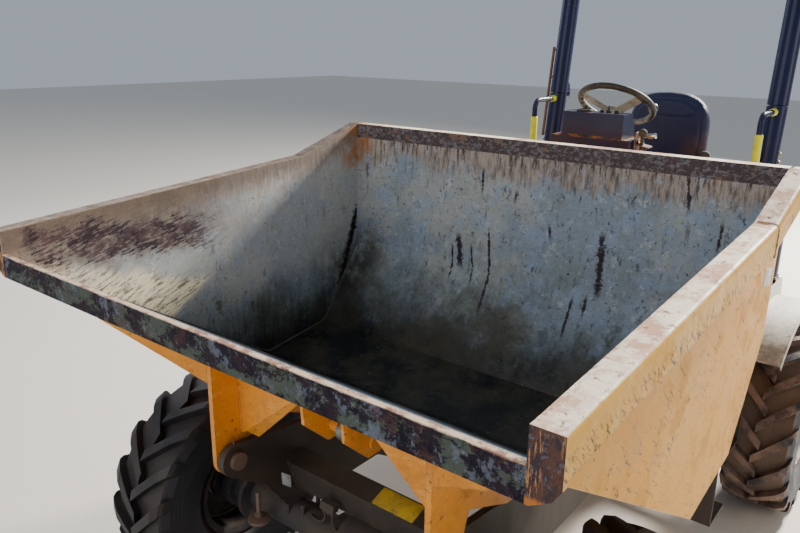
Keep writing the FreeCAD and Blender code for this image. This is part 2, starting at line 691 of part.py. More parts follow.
def control_levers():
    """The tipping lever beside the console."""
    base = block(180, 214, 2130, 2190, 1590, 1640)
    stem = bar(at(197, 2160, 1635), at(215, 2120, 1740), 7)
    knob = Part.makeSphere(18, at(217, 2115, 1752))
    return join([base, stem, knob])


def engine():
    """The crankcase, the lower fan end, the head and the feet."""
    feet = [block(-FRAME_X, FRAME_X, d, d + 60, 600, 640) for d in (3180, 3480)]
    case = side_plate([(3135, 560), (3135, 960), (3240, 960), (3300, 900), (3600, 900), (3600, 560)],
                      -220, 220)
    head = side_plate([(3260, 890), (3260, 1090), (3300, 1140), (3560, 1120), (3580, 1090), (3580, 890)],
                      -130, 130)
    return join([case, head] + feet)


def bonnet():
    """A sheet cover open below, its top falling to the rear."""
    outer = side_plate([(3060, 715), (3060, 1320), (3560, 1290), (3690, 1180), (3690, 715)], -385, 385)
    inner = side_plate([(3066, 700), (3066, 1314), (3557, 1284), (3684, 1176), (3684, 700)], -379, 379)
    shell = outer.cut(inner)
    slots = [block(-260, 260, 3680, 3700, z, z + 22) for z in range(800, 1120, 45)]
    shell = shell.cut(Part.makeCompound(slots))
    ear = side_plate([(3688, 716), (3688, 760), (3708, 734), (3722, 722), (3708, 710)], 280, 290)
    ear = ear.cut(across(COVER_AXIS, 6 + RUN, 279, 291))
    return join([shell, ear, mirrored(ear)])


def lower_post():
    """The post below the hoop's joint, bent outwards to its foot."""
    bend = hoop_point(1500)
    low = at(634, 2800, 1250)
    path = [at(634, 2800, DECK_Z + 14), low, bend, hoop_point(HOOP_JOINT_Z)]
    return bent_tube(path, POST_R, 150)


def rops_base():
    """One outrigger with the lower post, bent in towards the driver."""
    foot = block(FRAME_X + FRAME_PLATE / 2, FENDER_X[0] - 8, 2760, 2840, DECK_Z - 80, DECK_Z)
    flange = block(590, FENDER_X[0] - 8, 2755, 2845, DECK_Z, DECK_Z + 14)
    axis = hoop_axis()
    lug = side_plate([(axis[0] - 60, axis[1] - 80), (axis[0] - 50, axis[1] - 7), (axis[0] - 12, axis[1] - 7),
                      (axis[0], axis[1]), (axis[0] + 14, axis[1] - 6), (axis[0] - 40, axis[1] - 110)],
                     POST_X - 12, POST_X + 12)
    knob = across(axis, 16, POST_X - 12, POST_X + 12)
    pin = across(axis, 8, POST_X - 32, POST_X + 32)
    return both_sides(join([foot, flange, lower_post(), lug, knob, pin]))


def hoop_point(z, x=POST_X):
    lean = math.tan(math.radians(POST_LEAN))
    return at(x, POST_AT + (z - 1650) * lean, z)


def hoop_axis():
    """Where the hoop's hinge pins lie, just behind the posts."""
    lean = math.tan(math.radians(POST_LEAN))
    return POST_AT + (HOOP_JOINT_Z - 1650) * lean + POST_R + 22, HOOP_JOINT_Z


def rops_hoop():
    """The folding upper hoop with its hinge cheeks."""
    tube = bent_tube([hoop_point(HOOP_JOINT_Z + 3), hoop_point(HOOP_TOP - POST_R),
                      hoop_point(HOOP_TOP - POST_R, -POST_X), hoop_point(HOOP_JOINT_Z + 3, -POST_X)],
                     POST_R, 180)
    axis = hoop_axis()
    cheek = side_plate([(axis[0] - 45, axis[1] + 90), (axis[0] - 55, axis[1] + 8), (axis[0] - 16, axis[1] + 8),
                        (axis[0], axis[1]), (axis[0] + 17, axis[1] + 5), (axis[0] + 8, axis[1] + 45)], 0, 10)
    cheek = join([cheek, across(axis, 18, 0, 10)]).cut(across(axis, 8 + RUN, -1, 11))
    cheeks = [cheek.translated(FreeCAD.Vector(x, 0, 0))
              for x in (POST_X - 27, POST_X + 17, -POST_X - 27, -POST_X + 17)]
    return join([tube] + cheeks)


def hoop_rod():
    """The thin rod clamped to the right post by two brackets."""
    x = -POST_X - 62
    rod = bar(hoop_point(1610, x), hoop_point(2080, x), 8)
    clamps = [bar(hoop_point(z, x), hoop_point(z, -POST_X), 7) for z in (1925, 2066)]
    return join([rod] + clamps).cut(rops_hoop())


def grab_handles():
    top = 1815.0
    lean = math.tan(math.radians(POST_LEAN))
    start = at(POST_X, POST_AT + (top - 1650) * lean - POST_R + 6, top)
    elbow = at(POST_X, 2600, top)
    foot = at(POST_X, 2600, 1560)
    back = at(POST_X, POST_AT - 100 * lean - POST_R + 6, 1560)
    tube = bent_tube([start, elbow, foot, back], 13, 40)
    return both_sides(tube.cut(lower_post()))


def fender():
    """An arched mudguard with a turned-down edge and its upright inner cheek."""
    x0, x1 = FENDER_X
    place = (REAR_AXLE, AXLE_Z)
    ring = across(place, FENDER_R, x0, x1).cut(across(place, FENDER_R - 6, x0 - 1, x1 + 1))
    edge = across(place, FENDER_R, x1 - 6, x1).cut(across(place, FENDER_R - 40, x1 - 7, x1 + 1))
    arch = join([ring, edge])
    far = FENDER_R + 50
    wedge = side_plate([(REAR_AXLE, AXLE_Z), (REAR_AXLE - far, AXLE_Z + far),
                        (REAR_AXLE - far, AXLE_Z + 2 * far), (REAR_AXLE + far, AXLE_Z + 2 * far),
                        (REAR_AXLE + far, AXLE_Z + far * 0.55)], x0 - 5, x1 + 5)
    arch = arch.common(wedge)
    cheek = side_plate([(2490, 930), (2620, 1045), (2860, 1045), (2900, 940), (2830, 900),
                        (2560, 900)], x0 - 8, x0)
    return join([arch, cheek])


def export(name, shape):
    shape.exportStep("parts/%s.step" % name)


def main():
    os.makedirs("parts", exist_ok=True)
    wheels = {}
    for end, behind in (("front", FRONT_AXLE), ("rear", REAR_AXLE)):
        for word, side in (("left", 1), ("right", -1)):
            wheels["tyre_%s_%s" % (end, word)] = tyre(side, behind)
            wheels["wheel_%s_%s" % (end, word)] = wheel(side, behind)

    x_axis = FreeCAD.Vector(1, 0, 0)
    z_axis = FreeCAD.Vector(0, 0, 1)
    tip_base = at(0, *RAM_BASE)
    tip_top = at(0, *RAM_TOP)
    steer_base = at(*STEER_BASE, PIVOT_Z)
    steer_top = at(*STEER_TOP, PIVOT_Z)

    nodes = {
        "skip_floor": skip_floor(),
        "skip_back": skip_back().cut(skip_floor()),
        "skip_side_left": skip_side(),
        "skip_side_right": mirrored(skip_side()),
        "skip_lip": skip_lip(),
        "skip_legs": both_sides(skip_leg()),
        "skip_ram_bracket": skip_ram_bracket(),
        "front_plates": both_sides(front_plate()),
        "front_cross_tube": front_cross_tube(),
        "front_tail": front_tail(),
        "tipping_pins": pivot_pins(),
        "skip_buffers": skip_buffers(),
        "front_axle": axle(FRONT_AXLE, EAR_INNER, EAR_THICK, 1),
        "rear_axle": axle(REAR_AXLE, FRAME_X, FRAME_PLATE, -1),
        "front_shaft": front_shaft(),
        "rear_shaft": rear_shaft(),
        "silencer": silencer(),
        "tail_pipe": tail_pipe(),
        "tip_ram_barrel": gland_hole(ram_barrel(tip_base, tip_top, RAM_BORE, RAM_WALL, 40, RAM_PIN,
                                                RAM_EYE_HALF, x_axis, RAM_COVER),
                                     tip_base, tip_top, RAM_ROD, RAM_COVER),
        "tip_ram_rod": ram_rod(tip_base, tip_top, RAM_BORE, RAM_ROD, 38, RAM_EYE_HALF, x_axis, RAM_FOOT),
        "steer_ram_barrel": gland_hole(ram_barrel(steer_base, steer_top, STEER_BORE, STEER_WALL, 26,
                                                  STEER_PIN, 34, z_axis, STEER_COVER),
                                       steer_base, steer_top, STEER_ROD, STEER_COVER),
        "steer_ram_rod": ram_rod(steer_base, steer_top, STEER_BORE, STEER_ROD, 25, 22, z_axis,
                                 STEER_FOOT),
        "knuckle": knuckle(),
        "rear_nose": rear_nose(),
        "steer_pin": steer_pin(),
        "rear_plates": both_sides(rear_plate()),
        "counterweight": counterweight(),
        "tow_jaw": tow_jaw(),
        "steps": both_sides(step()),
        "tanks": both_sides(tank()),
        "body_shell": body_shell(),
        "deck": deck(),
        "console": console(),
        "steering_wheel": steering_wheel(),
        "seat": seat(),
        "seat_mount": seat_mount(),
        "control_levers": control_levers(),
        "engine": engine(),
        "bonnet": bonnet(),
        "rops_base": rops_base(),
        "rops_hoop": rops_hoop(),
        "hoop_rod": hoop_rod(),
        "grab_handles": grab_handles(),
        "fenders": both_sides(fender()),
    }
    nodes.update(wheels)
    for name, shape in nodes.items():
        export(name, shape)
        box = shape.BoundBox
        print("%-20s solids %d valid %s vol %.4f  x %.0f %.0f y %.0f %.0f z %.0f %.0f" % (
            name, len(shape.Solids), shape.isValid(), shape.Volume / 1e9,
            box.XMin, box.XMax, box.YMin, box.YMax, box.ZMin, box.ZMax))


main()
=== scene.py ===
import math
import random

import bmesh
import bpy
from mathutils import Matrix, Vector


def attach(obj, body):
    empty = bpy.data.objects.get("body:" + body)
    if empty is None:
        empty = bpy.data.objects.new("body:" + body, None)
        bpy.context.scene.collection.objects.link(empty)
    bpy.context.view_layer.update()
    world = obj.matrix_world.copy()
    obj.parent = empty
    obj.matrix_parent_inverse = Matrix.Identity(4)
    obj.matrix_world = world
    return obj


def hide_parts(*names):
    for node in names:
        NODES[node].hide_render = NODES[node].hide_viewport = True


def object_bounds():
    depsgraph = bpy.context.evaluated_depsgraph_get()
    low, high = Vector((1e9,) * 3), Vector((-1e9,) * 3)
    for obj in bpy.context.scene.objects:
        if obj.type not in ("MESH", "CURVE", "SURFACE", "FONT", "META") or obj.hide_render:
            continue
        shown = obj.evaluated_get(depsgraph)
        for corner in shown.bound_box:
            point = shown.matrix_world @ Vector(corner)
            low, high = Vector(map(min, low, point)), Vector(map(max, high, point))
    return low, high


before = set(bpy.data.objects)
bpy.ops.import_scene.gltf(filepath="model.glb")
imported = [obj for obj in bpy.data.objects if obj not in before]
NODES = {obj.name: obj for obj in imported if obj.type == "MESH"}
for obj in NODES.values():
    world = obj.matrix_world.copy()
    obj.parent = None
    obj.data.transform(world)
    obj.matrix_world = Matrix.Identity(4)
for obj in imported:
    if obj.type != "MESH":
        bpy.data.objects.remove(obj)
CAD_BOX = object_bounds()
RANDOM = random.Random(7)

# The photograph's camera
CAMERA_PLACE = (1.339, -2.841, 2.11)
CAMERA_TURN = 38.41
CAMERA_PITCH = 17.17
CAMERA_ROLL = 0.72
CAMERA_LENS = 33.08

# Places on the vehicle, in metres: BEHIND + y is the distance behind the skip's lip
BEHIND = -CAD_BOX[0].y
FLOOR_TOP = -0.0005
RIM_FRONT_Z = 1.557
RIM_KINK = 1.236
RIM_KINK_Z = 1.641
RIM_BACK = 1.587
RIM_BACK_Z = 1.749
RIM_RISE = ((RIM_KINK_Z - RIM_FRONT_Z) / RIM_KINK, (RIM_BACK_Z - RIM_KINK_Z) / (RIM_BACK - RIM_KINK))
LIP_TOP = 1.486
AXLE_Z = 0.43
HALF_TRACK = 0.805
FRONT_AXLE = 0.7 - BEHIND
REAR_AXLE = 2.675 - BEHIND
STEERING_HUB = Vector((0, 2.336 - BEHIND, 1.842))
STEERING_TILT = 33  # degrees
CONSOLE_LEDGE = 1.722
DECK_SIZE = (1.1, 0.53)

# How far across the outer paint of the skip's wall and of its rail begins and is whole
WALL_OUTSIDE = (0.879, 0.8794)
RAIL_OUTSIDE = (0.8862, 0.8866)

# Places in millimetres, as (behind the lip, above the ground); the deck's corner has across first
TIPPING_PIN = (430, 783)
TUBE_MIDDLE = (708, 624)
RAM_FOOT = (1160, 600)
RAM_HEAD = (560, 975)
POST_FOOT = (2830, 1650)
SEAT_BACK = (3084, 1662)
SEAT_BASE = (2836, 1404)
DECK_CORNER = (-550, 2116, 1040)

# The front cross tube's half depth and height, its end, and the plate on it, in millimetres
TUBE_HALF = (40, 65)
TUBE_END = 386
PLATE_REACH = (0, 168)
PLATE_DEPTH = (-35, 37)

# Turns and slopes; the skip's sloping front starts at a height in millimetres
TUBE_TURN = math.radians(18)
POST_LEAN = math.radians(8)
SLOPE_START = 1467
SLOPE_FALL = 0.639

# Rings of fastenings, in metres and in numbers
NUT_RING = 0.11
NUT_COUNT = 8
VALVE_RING = 0.15
WHEEL_FACE = 0.04
DRIVE_FACE = 0.131
DRIVE_RING = 0.094
DRIVE_BOLTS = 12
SADDLE = 0.33

# The seat's swelling and sewn lines, in metres and frames
PUFF_VOXEL = 0.008
PUFF_PRESSURE = 4
PUFF_LIMIT = 0.01
PUFF_FRAMES = 20
SEAM_DEPTH = 0.004
SEAM_WIDTH = 0.005
SEAT_WIDTH = 0.436

# A cushion from back to front, as shares of its outline and of its depth
CUSHION_PROFILE = ((0.15, 0.03), (0.45, 0.015), (0.75, 0), (0.92, 0.02), (0.985, 0.12), (1, 0.3),
                   (0.995, 0.55), (0.97, 0.78), (0.9, 0.91), (0.75, 0.97), (0.45, 1), (0.15, 1))

# How many steps a smooth line takes between two points, and a rounded corner
CURVE_STEPS = 8
CORNER_STEPS = 5


def spot(x, behind, z):
    """A point from millimetres across, behind the lip and above the ground."""
    return Vector((x / 1000, behind / 1000 - BEHIND, z / 1000))


def run(*places):
    return [spot(*place) for place in places]


class Graph:
    """A material's nodes, with one short call for each kind that is used."""

    def __init__(self, name):
        self.material = bpy.data.materials.new(name)
        self.material.use_nodes = True
        self.tree = self.material.node_tree
        self.shader = self.tree.nodes["Principled BSDF"]
        self.place = self.new("ShaderNodeTexCoord").outputs["Object"]
        self.facing = self.place.node.outputs["Normal"]

    def new(self, kind, **settings):
        node = self.tree.nodes.new(kind)
        for key, value in settings.items():
            setattr(node, key, value)
        return node

    def plug(self, socket, value):
        if isinstance(value, bpy.types.NodeSocket):
            self.tree.links.new(value, socket)
        elif hasattr(socket.default_value, "__len__") and not hasattr(value, "__len__"):
            socket.default_value = [value] * len(socket.default_value)
        elif hasattr(value, "__len__") and len(socket.default_value) == 4 and len(value) == 3:
            socket.default_value = (*value, 1)
        else:
            socket.default_value = value

    def math(self, operation, *values):
        node = self.new("ShaderNodeMath", operation=operation)
        for socket, value in zip(node.inputs, values):
            self.plug(socket, value)
        return node.outputs[0]

    def add(self, a, b):
        return self.math("ADD", a, b)

    def sub(self, a, b):
        return self.math("SUBTRACT", a, b)

    def times(self, *values):
        result = values[0]
        for value in values[1:]:
            result = self.math("MULTIPLY", result, value)
        return result

    def most(self, *values):
        result = values[0]
        for value in values[1:]:
            result = self.math("MAXIMUM", result, value)
        return result

    def flip(self, a):
        return self.math("SUBTRACT", 1, a)

    def axes(self, vector=None):
        node = self.new("ShaderNodeSeparateXYZ")
        self.plug(node.inputs[0], vector or self.place)
        return node.outputs

    def stretch(self, scale, vector=None):
        node = self.new("ShaderNodeVectorMath", operation="MULTIPLY")
        self.plug(node.inputs[0], vector or self.place)
        self.plug(node.inputs[1], scale)
        return node.outputs[0]

    def span(self, point, scale=(1, 1, 1)):
        """The distance from a point, with each axis scaled."""
        node = self.new("ShaderNodeVectorMath", operation="DISTANCE")
        self.plug(node.inputs[0], self.stretch(scale))
        self.plug(node.inputs[1], [a * b for a, b in zip(point, scale)])
        return node.outputs["Value"]

    def noise(self, scale, detail=4, rough=0.55, stretch=None, tilt=0, seed=0):
        """Noise; stretch scales each axis after the point is tilted about X by tilt degrees."""
        node = self.new("ShaderNodeTexNoise")
        vector = self.place
        if tilt:
            turn = self.new("ShaderNodeVectorRotate", rotation_type="X_AXIS")
            self.plug(turn.inputs["Vector"], vector)
            turn.inputs["Angle"].default_value = math.radians(tilt)
            vector = turn.outputs[0]
        if stretch is not None:
            vector = self.stretch(stretch, vector)
        if seed:
            shift = self.new("ShaderNodeVectorMath", operation="ADD")
            self.plug(shift.inputs[0], vector)
            self.plug(shift.inputs[1], (seed, seed * 0.7, seed * 1.3))
            vector = shift.outputs[0]
        self.plug(node.inputs["Vector"], vector)
        node.inputs["Scale"].default_value = scale
        node.inputs["Detail"].default_value = detail
        node.inputs["Roughness"].default_value = rough
        return node.outputs["Fac"]

    def rise(self, value, low, high, start=0, end=1):
        """start below low, end above high, smooth between."""
        node = self.new("ShaderNodeMapRange", interpolation_type="SMOOTHSTEP")
        self.plug(node.inputs["Value"], value)
        node.inputs["From Min"].default_value = low
        node.inputs["From Max"].default_value = high
        node.inputs["To Min"].default_value = start
        node.inputs["To Max"].default_value = end
        return node.outputs["Result"]

    def fall(self, value, low, high):
        return self.rise(value, low, high, 1, 0)

    def spots(self, low, high, *noise_values, **noise_settings):
        """Noise cut to crisp patches between two levels."""
        return self.rise(self.noise(*noise_values, **noise_settings), low, high)

    def wobble(self, reach, *noise_values, **noise_settings):
        """Noise about zero, reach wide."""
        return self.times(self.sub(self.noise(*noise_values, **noise_settings), 0.5), reach)

    def mix(self, amount, a, b):
        node = self.new("ShaderNodeMix", data_type="RGBA")
        self.plug(node.inputs[0], amount)
        self.plug(node.inputs[6], a)
        self.plug(node.inputs[7], b)
        return node.outputs[2]

    def over(self, colour, tone, *amounts):
        """Another tone over a colour, by the product of the amounts."""
        return self.mix(self.times(*amounts), colour, tone)

    def tones(self, a, b, low, high, *noise_values, **noise_settings):
        """Two tones in patches."""
        return self.mix(self.spots(low, high, *noise_values, **noise_settings), a, b)

    def dab(self, colour, tone, share, low, high, *noise_values, **noise_settings):
        """A share of crisp patches in another tone over a colour."""
        return self.over(colour, tone, self.spots(low, high, *noise_values, **noise_settings), share)

    def blur(self, amount, a, b):
        node = self.new("ShaderNodeMix", data_type="FLOAT")
        self.plug(node.inputs[0], amount)
        self.plug(node.inputs[2], a)
        self.plug(node.inputs[3], b)
        return node.outputs[0]

    def edge(self, width=0.006, sharp=(0.02, 0.25)):
        """High on outside edges, from how far a rounded normal leaves the real one."""
        bevel = self.new("ShaderNodeBevel", samples=2)
        bevel.inputs["Radius"].default_value = width
        dot = self.new("ShaderNodeVectorMath", operation="DOT_PRODUCT")
        self.plug(dot.inputs[0], bevel.outputs[0])
        self.plug(dot.inputs[1], self.new("ShaderNodeNewGeometry").outputs["Normal"])
        return self.rise(self.flip(dot.outputs["Value"]), *sharp)

    def bump(self, height, strength=0.4, distance=0.004):
        node = self.new("ShaderNodeBump")
        self.plug(node.inputs["Height"], height)
        node.inputs["Strength"].default_value = strength
        node.inputs["Distance"].default_value = distance
        self.tree.links.new(node.outputs[0], self.shader.inputs["Normal"])

    def finish(self, colour, roughness=0.5, metallic=0, shine=0.5):
        self.plug(self.shader.inputs["Base Color"], colour)
        self.plug(self.shader.inputs["Roughness"], roughness)
        self.plug(self.shader.inputs["Metallic"], metallic)
        self.shader.inputs["Specular IOR Level"].default_value = shine
        return self.material


def on_tube(forward, up):
    """(behind, z) of a point given in millimetres along the tilted cross tube's own axes."""
    cos, sin = math.cos(TUBE_TURN), math.sin(TUBE_TURN)
    return TUBE_MIDDLE[0] - forward * cos - up * sin, TUBE_MIDDLE[1] - forward * sin + up * cos


def worn_paint(name, paint, dark, rust=(0.16, 0.06, 0.025), metal=(0.2, 0.19, 0.18),
               dirt=0.5, wear=0.5, rough=0.55, soil_colour=(0.085, 0.065, 0.045)):
    """Paint with uneven fading, rust blisters, worn edges and dirt."""
    g = Graph(name)
    colour = g.mix(g.spots(0.3, 0.7, 3, 6, 0.6), paint, dark)
    fine = g.noise(60, 5, 0.65)
    colour = g.over(colour, dark, g.rise(fine, 0.45, 0.75), 0.35)
    worn = g.edge(0.008)
    patches = g.rise(g.add(g.noise(9, 7, 0.7, seed=3), g.times(worn, 0.2 * wear)), 0.66, 0.7)
    colour = g.mix(patches, colour, rust)
    chips = g.rise(g.add(g.noise(45, 6, 0.7, seed=8), g.times(worn, 0.35 * wear)), 0.68, 0.73)
    colour = g.mix(chips, colour, metal)
    soil = g.times(g.spots(0.42, 0.66, 5, 7, 0.72, stretch=(1, 1, 0.35), seed=5), dirt)
    upward = g.rise(g.axes(g.facing)[2], 0.2, 0.9)
    soil = g.most(soil, g.times(upward, dirt * 0.6, g.spots(0.3, 0.6, 14, 7, 0.7, seed=6)))
    colour = g.mix(soil, colour, soil_colour)
    g.bump(g.add(g.times(fine, 0.3), g.times(g.flip(patches), 0.7)), 0.25, 0.002)
    return g.finish(colour, g.blur(g.most(soil, patches), rough, 0.85), g.times(chips, 0.6))


def stroke(g, across, z, top, bottom, width, seed):
    """A ragged mark between two (across, z) points on a wall, broken up and fading at its ends."""
    lean = (bottom[0] - top[0]) / (bottom[1] - top[1])
    line = g.add(g.times(z, lean), top[0] - lean * top[1])
    away = g.math("ABSOLUTE", g.sub(across, line))
    ragged = g.wobble(width * 3.4, 55, 6, 0.75, seed=seed)
    body = g.fall(g.add(away, ragged), width * 0.35, width * 0.75)
    above = g.rise(z, bottom[1] - 0.01, bottom[1] + 0.04)
    below = g.fall(z, top[1] - 0.03, top[1] + 0.01)
    return g.times(body, above, below)


def rim_height(g, behind):
    """The height of the skip's upper edge, which rises faster behind its kink."""
    front = g.add(g.times(behind, RIM_RISE[0]), RIM_FRONT_Z)
    rear = g.add(g.times(behind, RIM_RISE[1]), RIM_KINK_Z - RIM_RISE[1] * RIM_KINK)
    return g.most(front, rear)


def bare_inside(g, depth, z, behind):
    """Scoured and stained sheet steel inside the skip, tinted blue in places as painted sky-lit shade:
    (colour, roughness, height).
    """
    # The bluer base tone is grey steel tinted blue as painted sky-lit shade.
    colour = g.tones((0.25, 0.3, 0.36), (0.37, 0.385, 0.375), 0.42, 0.58, 2.4, 7, 0.62, seed=2)
    colour = g.dab(colour, (0.225, 0.265, 0.255), 0.55, 0.5, 0.6, 3.6, 7, 0.68, seed=12)  # moss green
    colour = g.dab(colour, (0.27, 0.35, 0.47), 0.7, 0.52, 0.58, 9, 7, 0.76, seed=11)  # bluish patches on the steel, their blue deepened as painted sky-lit shade
    colour = g.dab(colour, (0.47, 0.51, 0.55), 0.6, 0.56, 0.6, 26, 7, 0.8, seed=4)  # pale flakes
    colour = g.dab(colour, (0.13, 0.14, 0.17), 0.45, 0.53, 0.6, 60, 7, 0.82, seed=14)  # dark grit
    patchy = g.spots(0.45, 0.6, 4.5, 6, 0.65, seed=9)
    drip = g.noise(1, 7, 0.75, stretch=(52, 52, 6.5), seed=6)
    streaks = g.times(g.rise(drip, 0.585, 0.63), patchy)
    colour = g.over(colour, (0.075, 0.06, 0.075), streaks, 0.7)
    scars = g.times(g.spots(0.585, 0.615, 1, 7, 0.78, stretch=(30, 30, 15), seed=19), g.flip(patchy))
    colour = g.over(colour, (0.05, 0.045, 0.07), scars, 0.8)
    pits = g.spots(0.645, 0.665, 80, 4, 0.65, seed=17)
    colour = g.mix(pits, colour, (0.02, 0.018, 0.03))

    ragged = g.wobble(0.3, 1, 7, 0.8, stretch=(60, 60, 7), seed=7)
    blotches = g.wobble(0.26, 5, 7, 0.7, seed=13)
    top = g.fall(g.add(depth, g.add(ragged, blotches)), 0.07, 0.125)
    streaky = g.noise(1, 7, 0.78, stretch=(75, 75, 12), seed=15)
    tan = g.mix(g.rise(streaky, 0.42, 0.56), (0.44, 0.34, 0.255), (0.185, 0.145, 0.125))
    tan = g.dab(tan, (0.37, 0.37, 0.39), 1, 0.55, 0.62, 22, 7, 0.75, seed=16)
    tan = g.dab(tan, (0.42, 0.23, 0.11), 1, 0.6, 0.66, 9, 7, 0.75, seed=18)
    tan = g.over(tan, (0.045, 0.028, 0.028), g.rise(streaky, 0.585, 0.625), 0.9)
    colour = g.over(colour, tan, top, 0.85)
    drips = g.times(g.rise(streaky, 0.53, 0.58), g.fall(g.add(depth, g.times(ragged, 0.5)), 0.015, 0.075))
    colour = g.over(colour, (0.07, 0.042, 0.036), drips, 0.85)

    wander = g.wobble(0.42, 3.2, 7, 0.66, seed=21)
    hair = g.wobble(0.22, 1, 7, 0.78, stretch=(40, 40, 4), seed=22)
    level = g.add(z, g.add(wander, hair))
    # Darker towards the bottom of the inside.
    low_darkening = g.fall(level, 1.02, 1.26)
    colour = g.over(colour, (0.06, 0.08, 0.085), low_darkening, 0.5)
    damp = g.fall(level, 0.9, 1.1)
    mud = g.tones((0.012, 0.013, 0.015), (0.05, 0.04, 0.032), 0.52, 0.66, 8, 7, 0.72, seed=23)
    mud = g.dab(mud, (0.28, 0.28, 0.27), 1, 0.7, 0.715, 90, 3, 0.6, seed=24)
    colour = g.mix(damp, colour, mud)
    rough = g.blur(damp, 0.66, 0.45)
    earth = g.times(g.rise(behind, 0.7, 1.1), g.fall(level, 1.04, 1.2),
                    g.spots(0.4, 0.58, 5, 7, 0.72, seed=26))
    colour = g.over(colour, (0.06, 0.055, 0.036), earth, 0.6)
    height = g.add(g.times(g.noise(30, 7, 0.72, seed=25), 0.6),
                   g.times(g.flip(g.most(pits, g.most(scars, streaks))), 0.4))
    return colour, rough, height


def faded_outside(g, behind, z):
    """Sun-bleached yellow paint with scratches and lilac-brown scuffs: (colour, roughness, height)."""
    colour = g.tones((0.62, 0.29, 0.028), (0.64, 0.33, 0.055), 0.38, 0.62, 2.6, 7, 0.62, seed=31)
    low = g.fall(g.add(z, g.wobble(0.3, 4, 6, 0.65, seed=32)), 1, 1.25)
    colour = g.over(colour, (0.62, 0.3, 0.02), low, 0.6)
    scuffed = g.spots(0.5, 0.6, 5, 7, 0.74, seed=33)
    colour = g.over(colour, (0.45, 0.24, 0.075), scuffed, 0.4)
    colour = g.dab(colour, (0.32, 0.195, 0.125), 0.35, 0.54, 0.62, 1, 7, 0.76, stretch=(14, 7, 15),
                   tilt=32, seed=36)  # lilac scuffs
    lines = g.noise(1, 7, 0.78, stretch=(9, 13, 75), tilt=40, seed=35)
    scratch = g.times(g.rise(lines, 0.565, 0.6), g.spots(0.42, 0.54, 5, 6, 0.65, seed=37))
    colour = g.over(colour, (0.1, 0.07, 0.07), scratch, 0.8)
    colour = g.dab(colour, (0.24, 0.13, 0.07), 0.35, 0.6, 0.64, 1, 6, 0.75, stretch=(20, 26, 160),
                   tilt=58, seed=38)  # fine scratches
    colour = g.dab(colour, (0.13, 0.06, 0.035), 1, 0.655, 0.68, 60, 4, 0.65, seed=39)  # dark specks
    height = g.add(g.times(g.noise(10, 6, 0.6, seed=41), 0.7), g.times(g.flip(scratch), 0.3))
    return colour, g.blur(scuffed, 0.42, 0.6), height


def scraped_rim(g, brown=0):
    """The rail's top, scraped to cream with pinkish rust: a colour; brown is the share left unscraped."""
    colour = g.tones((0.95, 0.84, 0.66), (0.6, 0.36, 0.25), 0.42, 0.58, 7, 7, 0.72, seed=51)
    colour = g.dab(colour, (0.9, 0.83, 0.71), 0.75, 0.5, 0.58, 20, 7, 0.75, seed=53)
    colour = g.dab(colour, (0.3, 0.14, 0.085), 1, 0.585, 0.62, 30, 7, 0.78, seed=57)
    if brown:
        low, high = 0.62 - 0.3 * brown, 0.68 - 0.3 * brown
        old = g.spots(low, high, 1, 7, 0.76, stretch=(30, 9, 9), seed=59)
        scale = g.spots(0.45, 0.56, 26, 7, 0.76, seed=60)
        scale = g.mix(scale, (0.215, 0.15, 0.125), (0.095, 0.065, 0.055))
        colour = g.over(colour, scale, old, 0.9)
    sides = g.times(g.edge(0.012, (0.005, 0.12)), g.spots(0.46, 0.56, 16, 7, 0.75, seed=58))
    colour = g.over(colour, (0.36, 0.18, 0.1), sides, 0.8)
    return g.over(colour, (0.07, 0.04, 0.035), g.spots(0.645, 0.67, 60, 7, 0.75, seed=55), 0.9)


def rusty_plate(g, x, z):
    """Grey-purple scale with bright rust streaks at its edges and an orange lower edge: a colour."""
    colour = g.tones((0.06, 0.045, 0.055), (0.12, 0.065, 0.05), 0.42, 0.58, 30, 7, 0.8, seed=61)
    colour = g.dab(colour, (0.17, 0.17, 0.21), 0.7, 0.57, 0.6, 60, 7, 0.82, seed=62)
    streaks = g.spots(0.535, 0.575, 1, 7, 0.82, stretch=(150, 150, 16), seed=63)
    sides = g.most(g.fall(x, 0.892, 0.912), g.times(g.rise(x, 0.925, 0.938), 0.6),
                   g.spots(0.56, 0.66, 1, 5, 0.6, stretch=(38, 38, 3), seed=64))
    colour = g.over(colour, (0.66, 0.32, 0.12), streaks, sides, 0.95)
    low = g.fall(g.add(z, g.wobble(0.03, 30, 6, 0.7, seed=65)), 1.424, 1.436)
    return g.over(colour, (0.55, 0.21, 0.05), low, 0.85)


def behind_lip(g):
    x, y, z = g.axes()
    return x, g.add(y, BEHIND), z


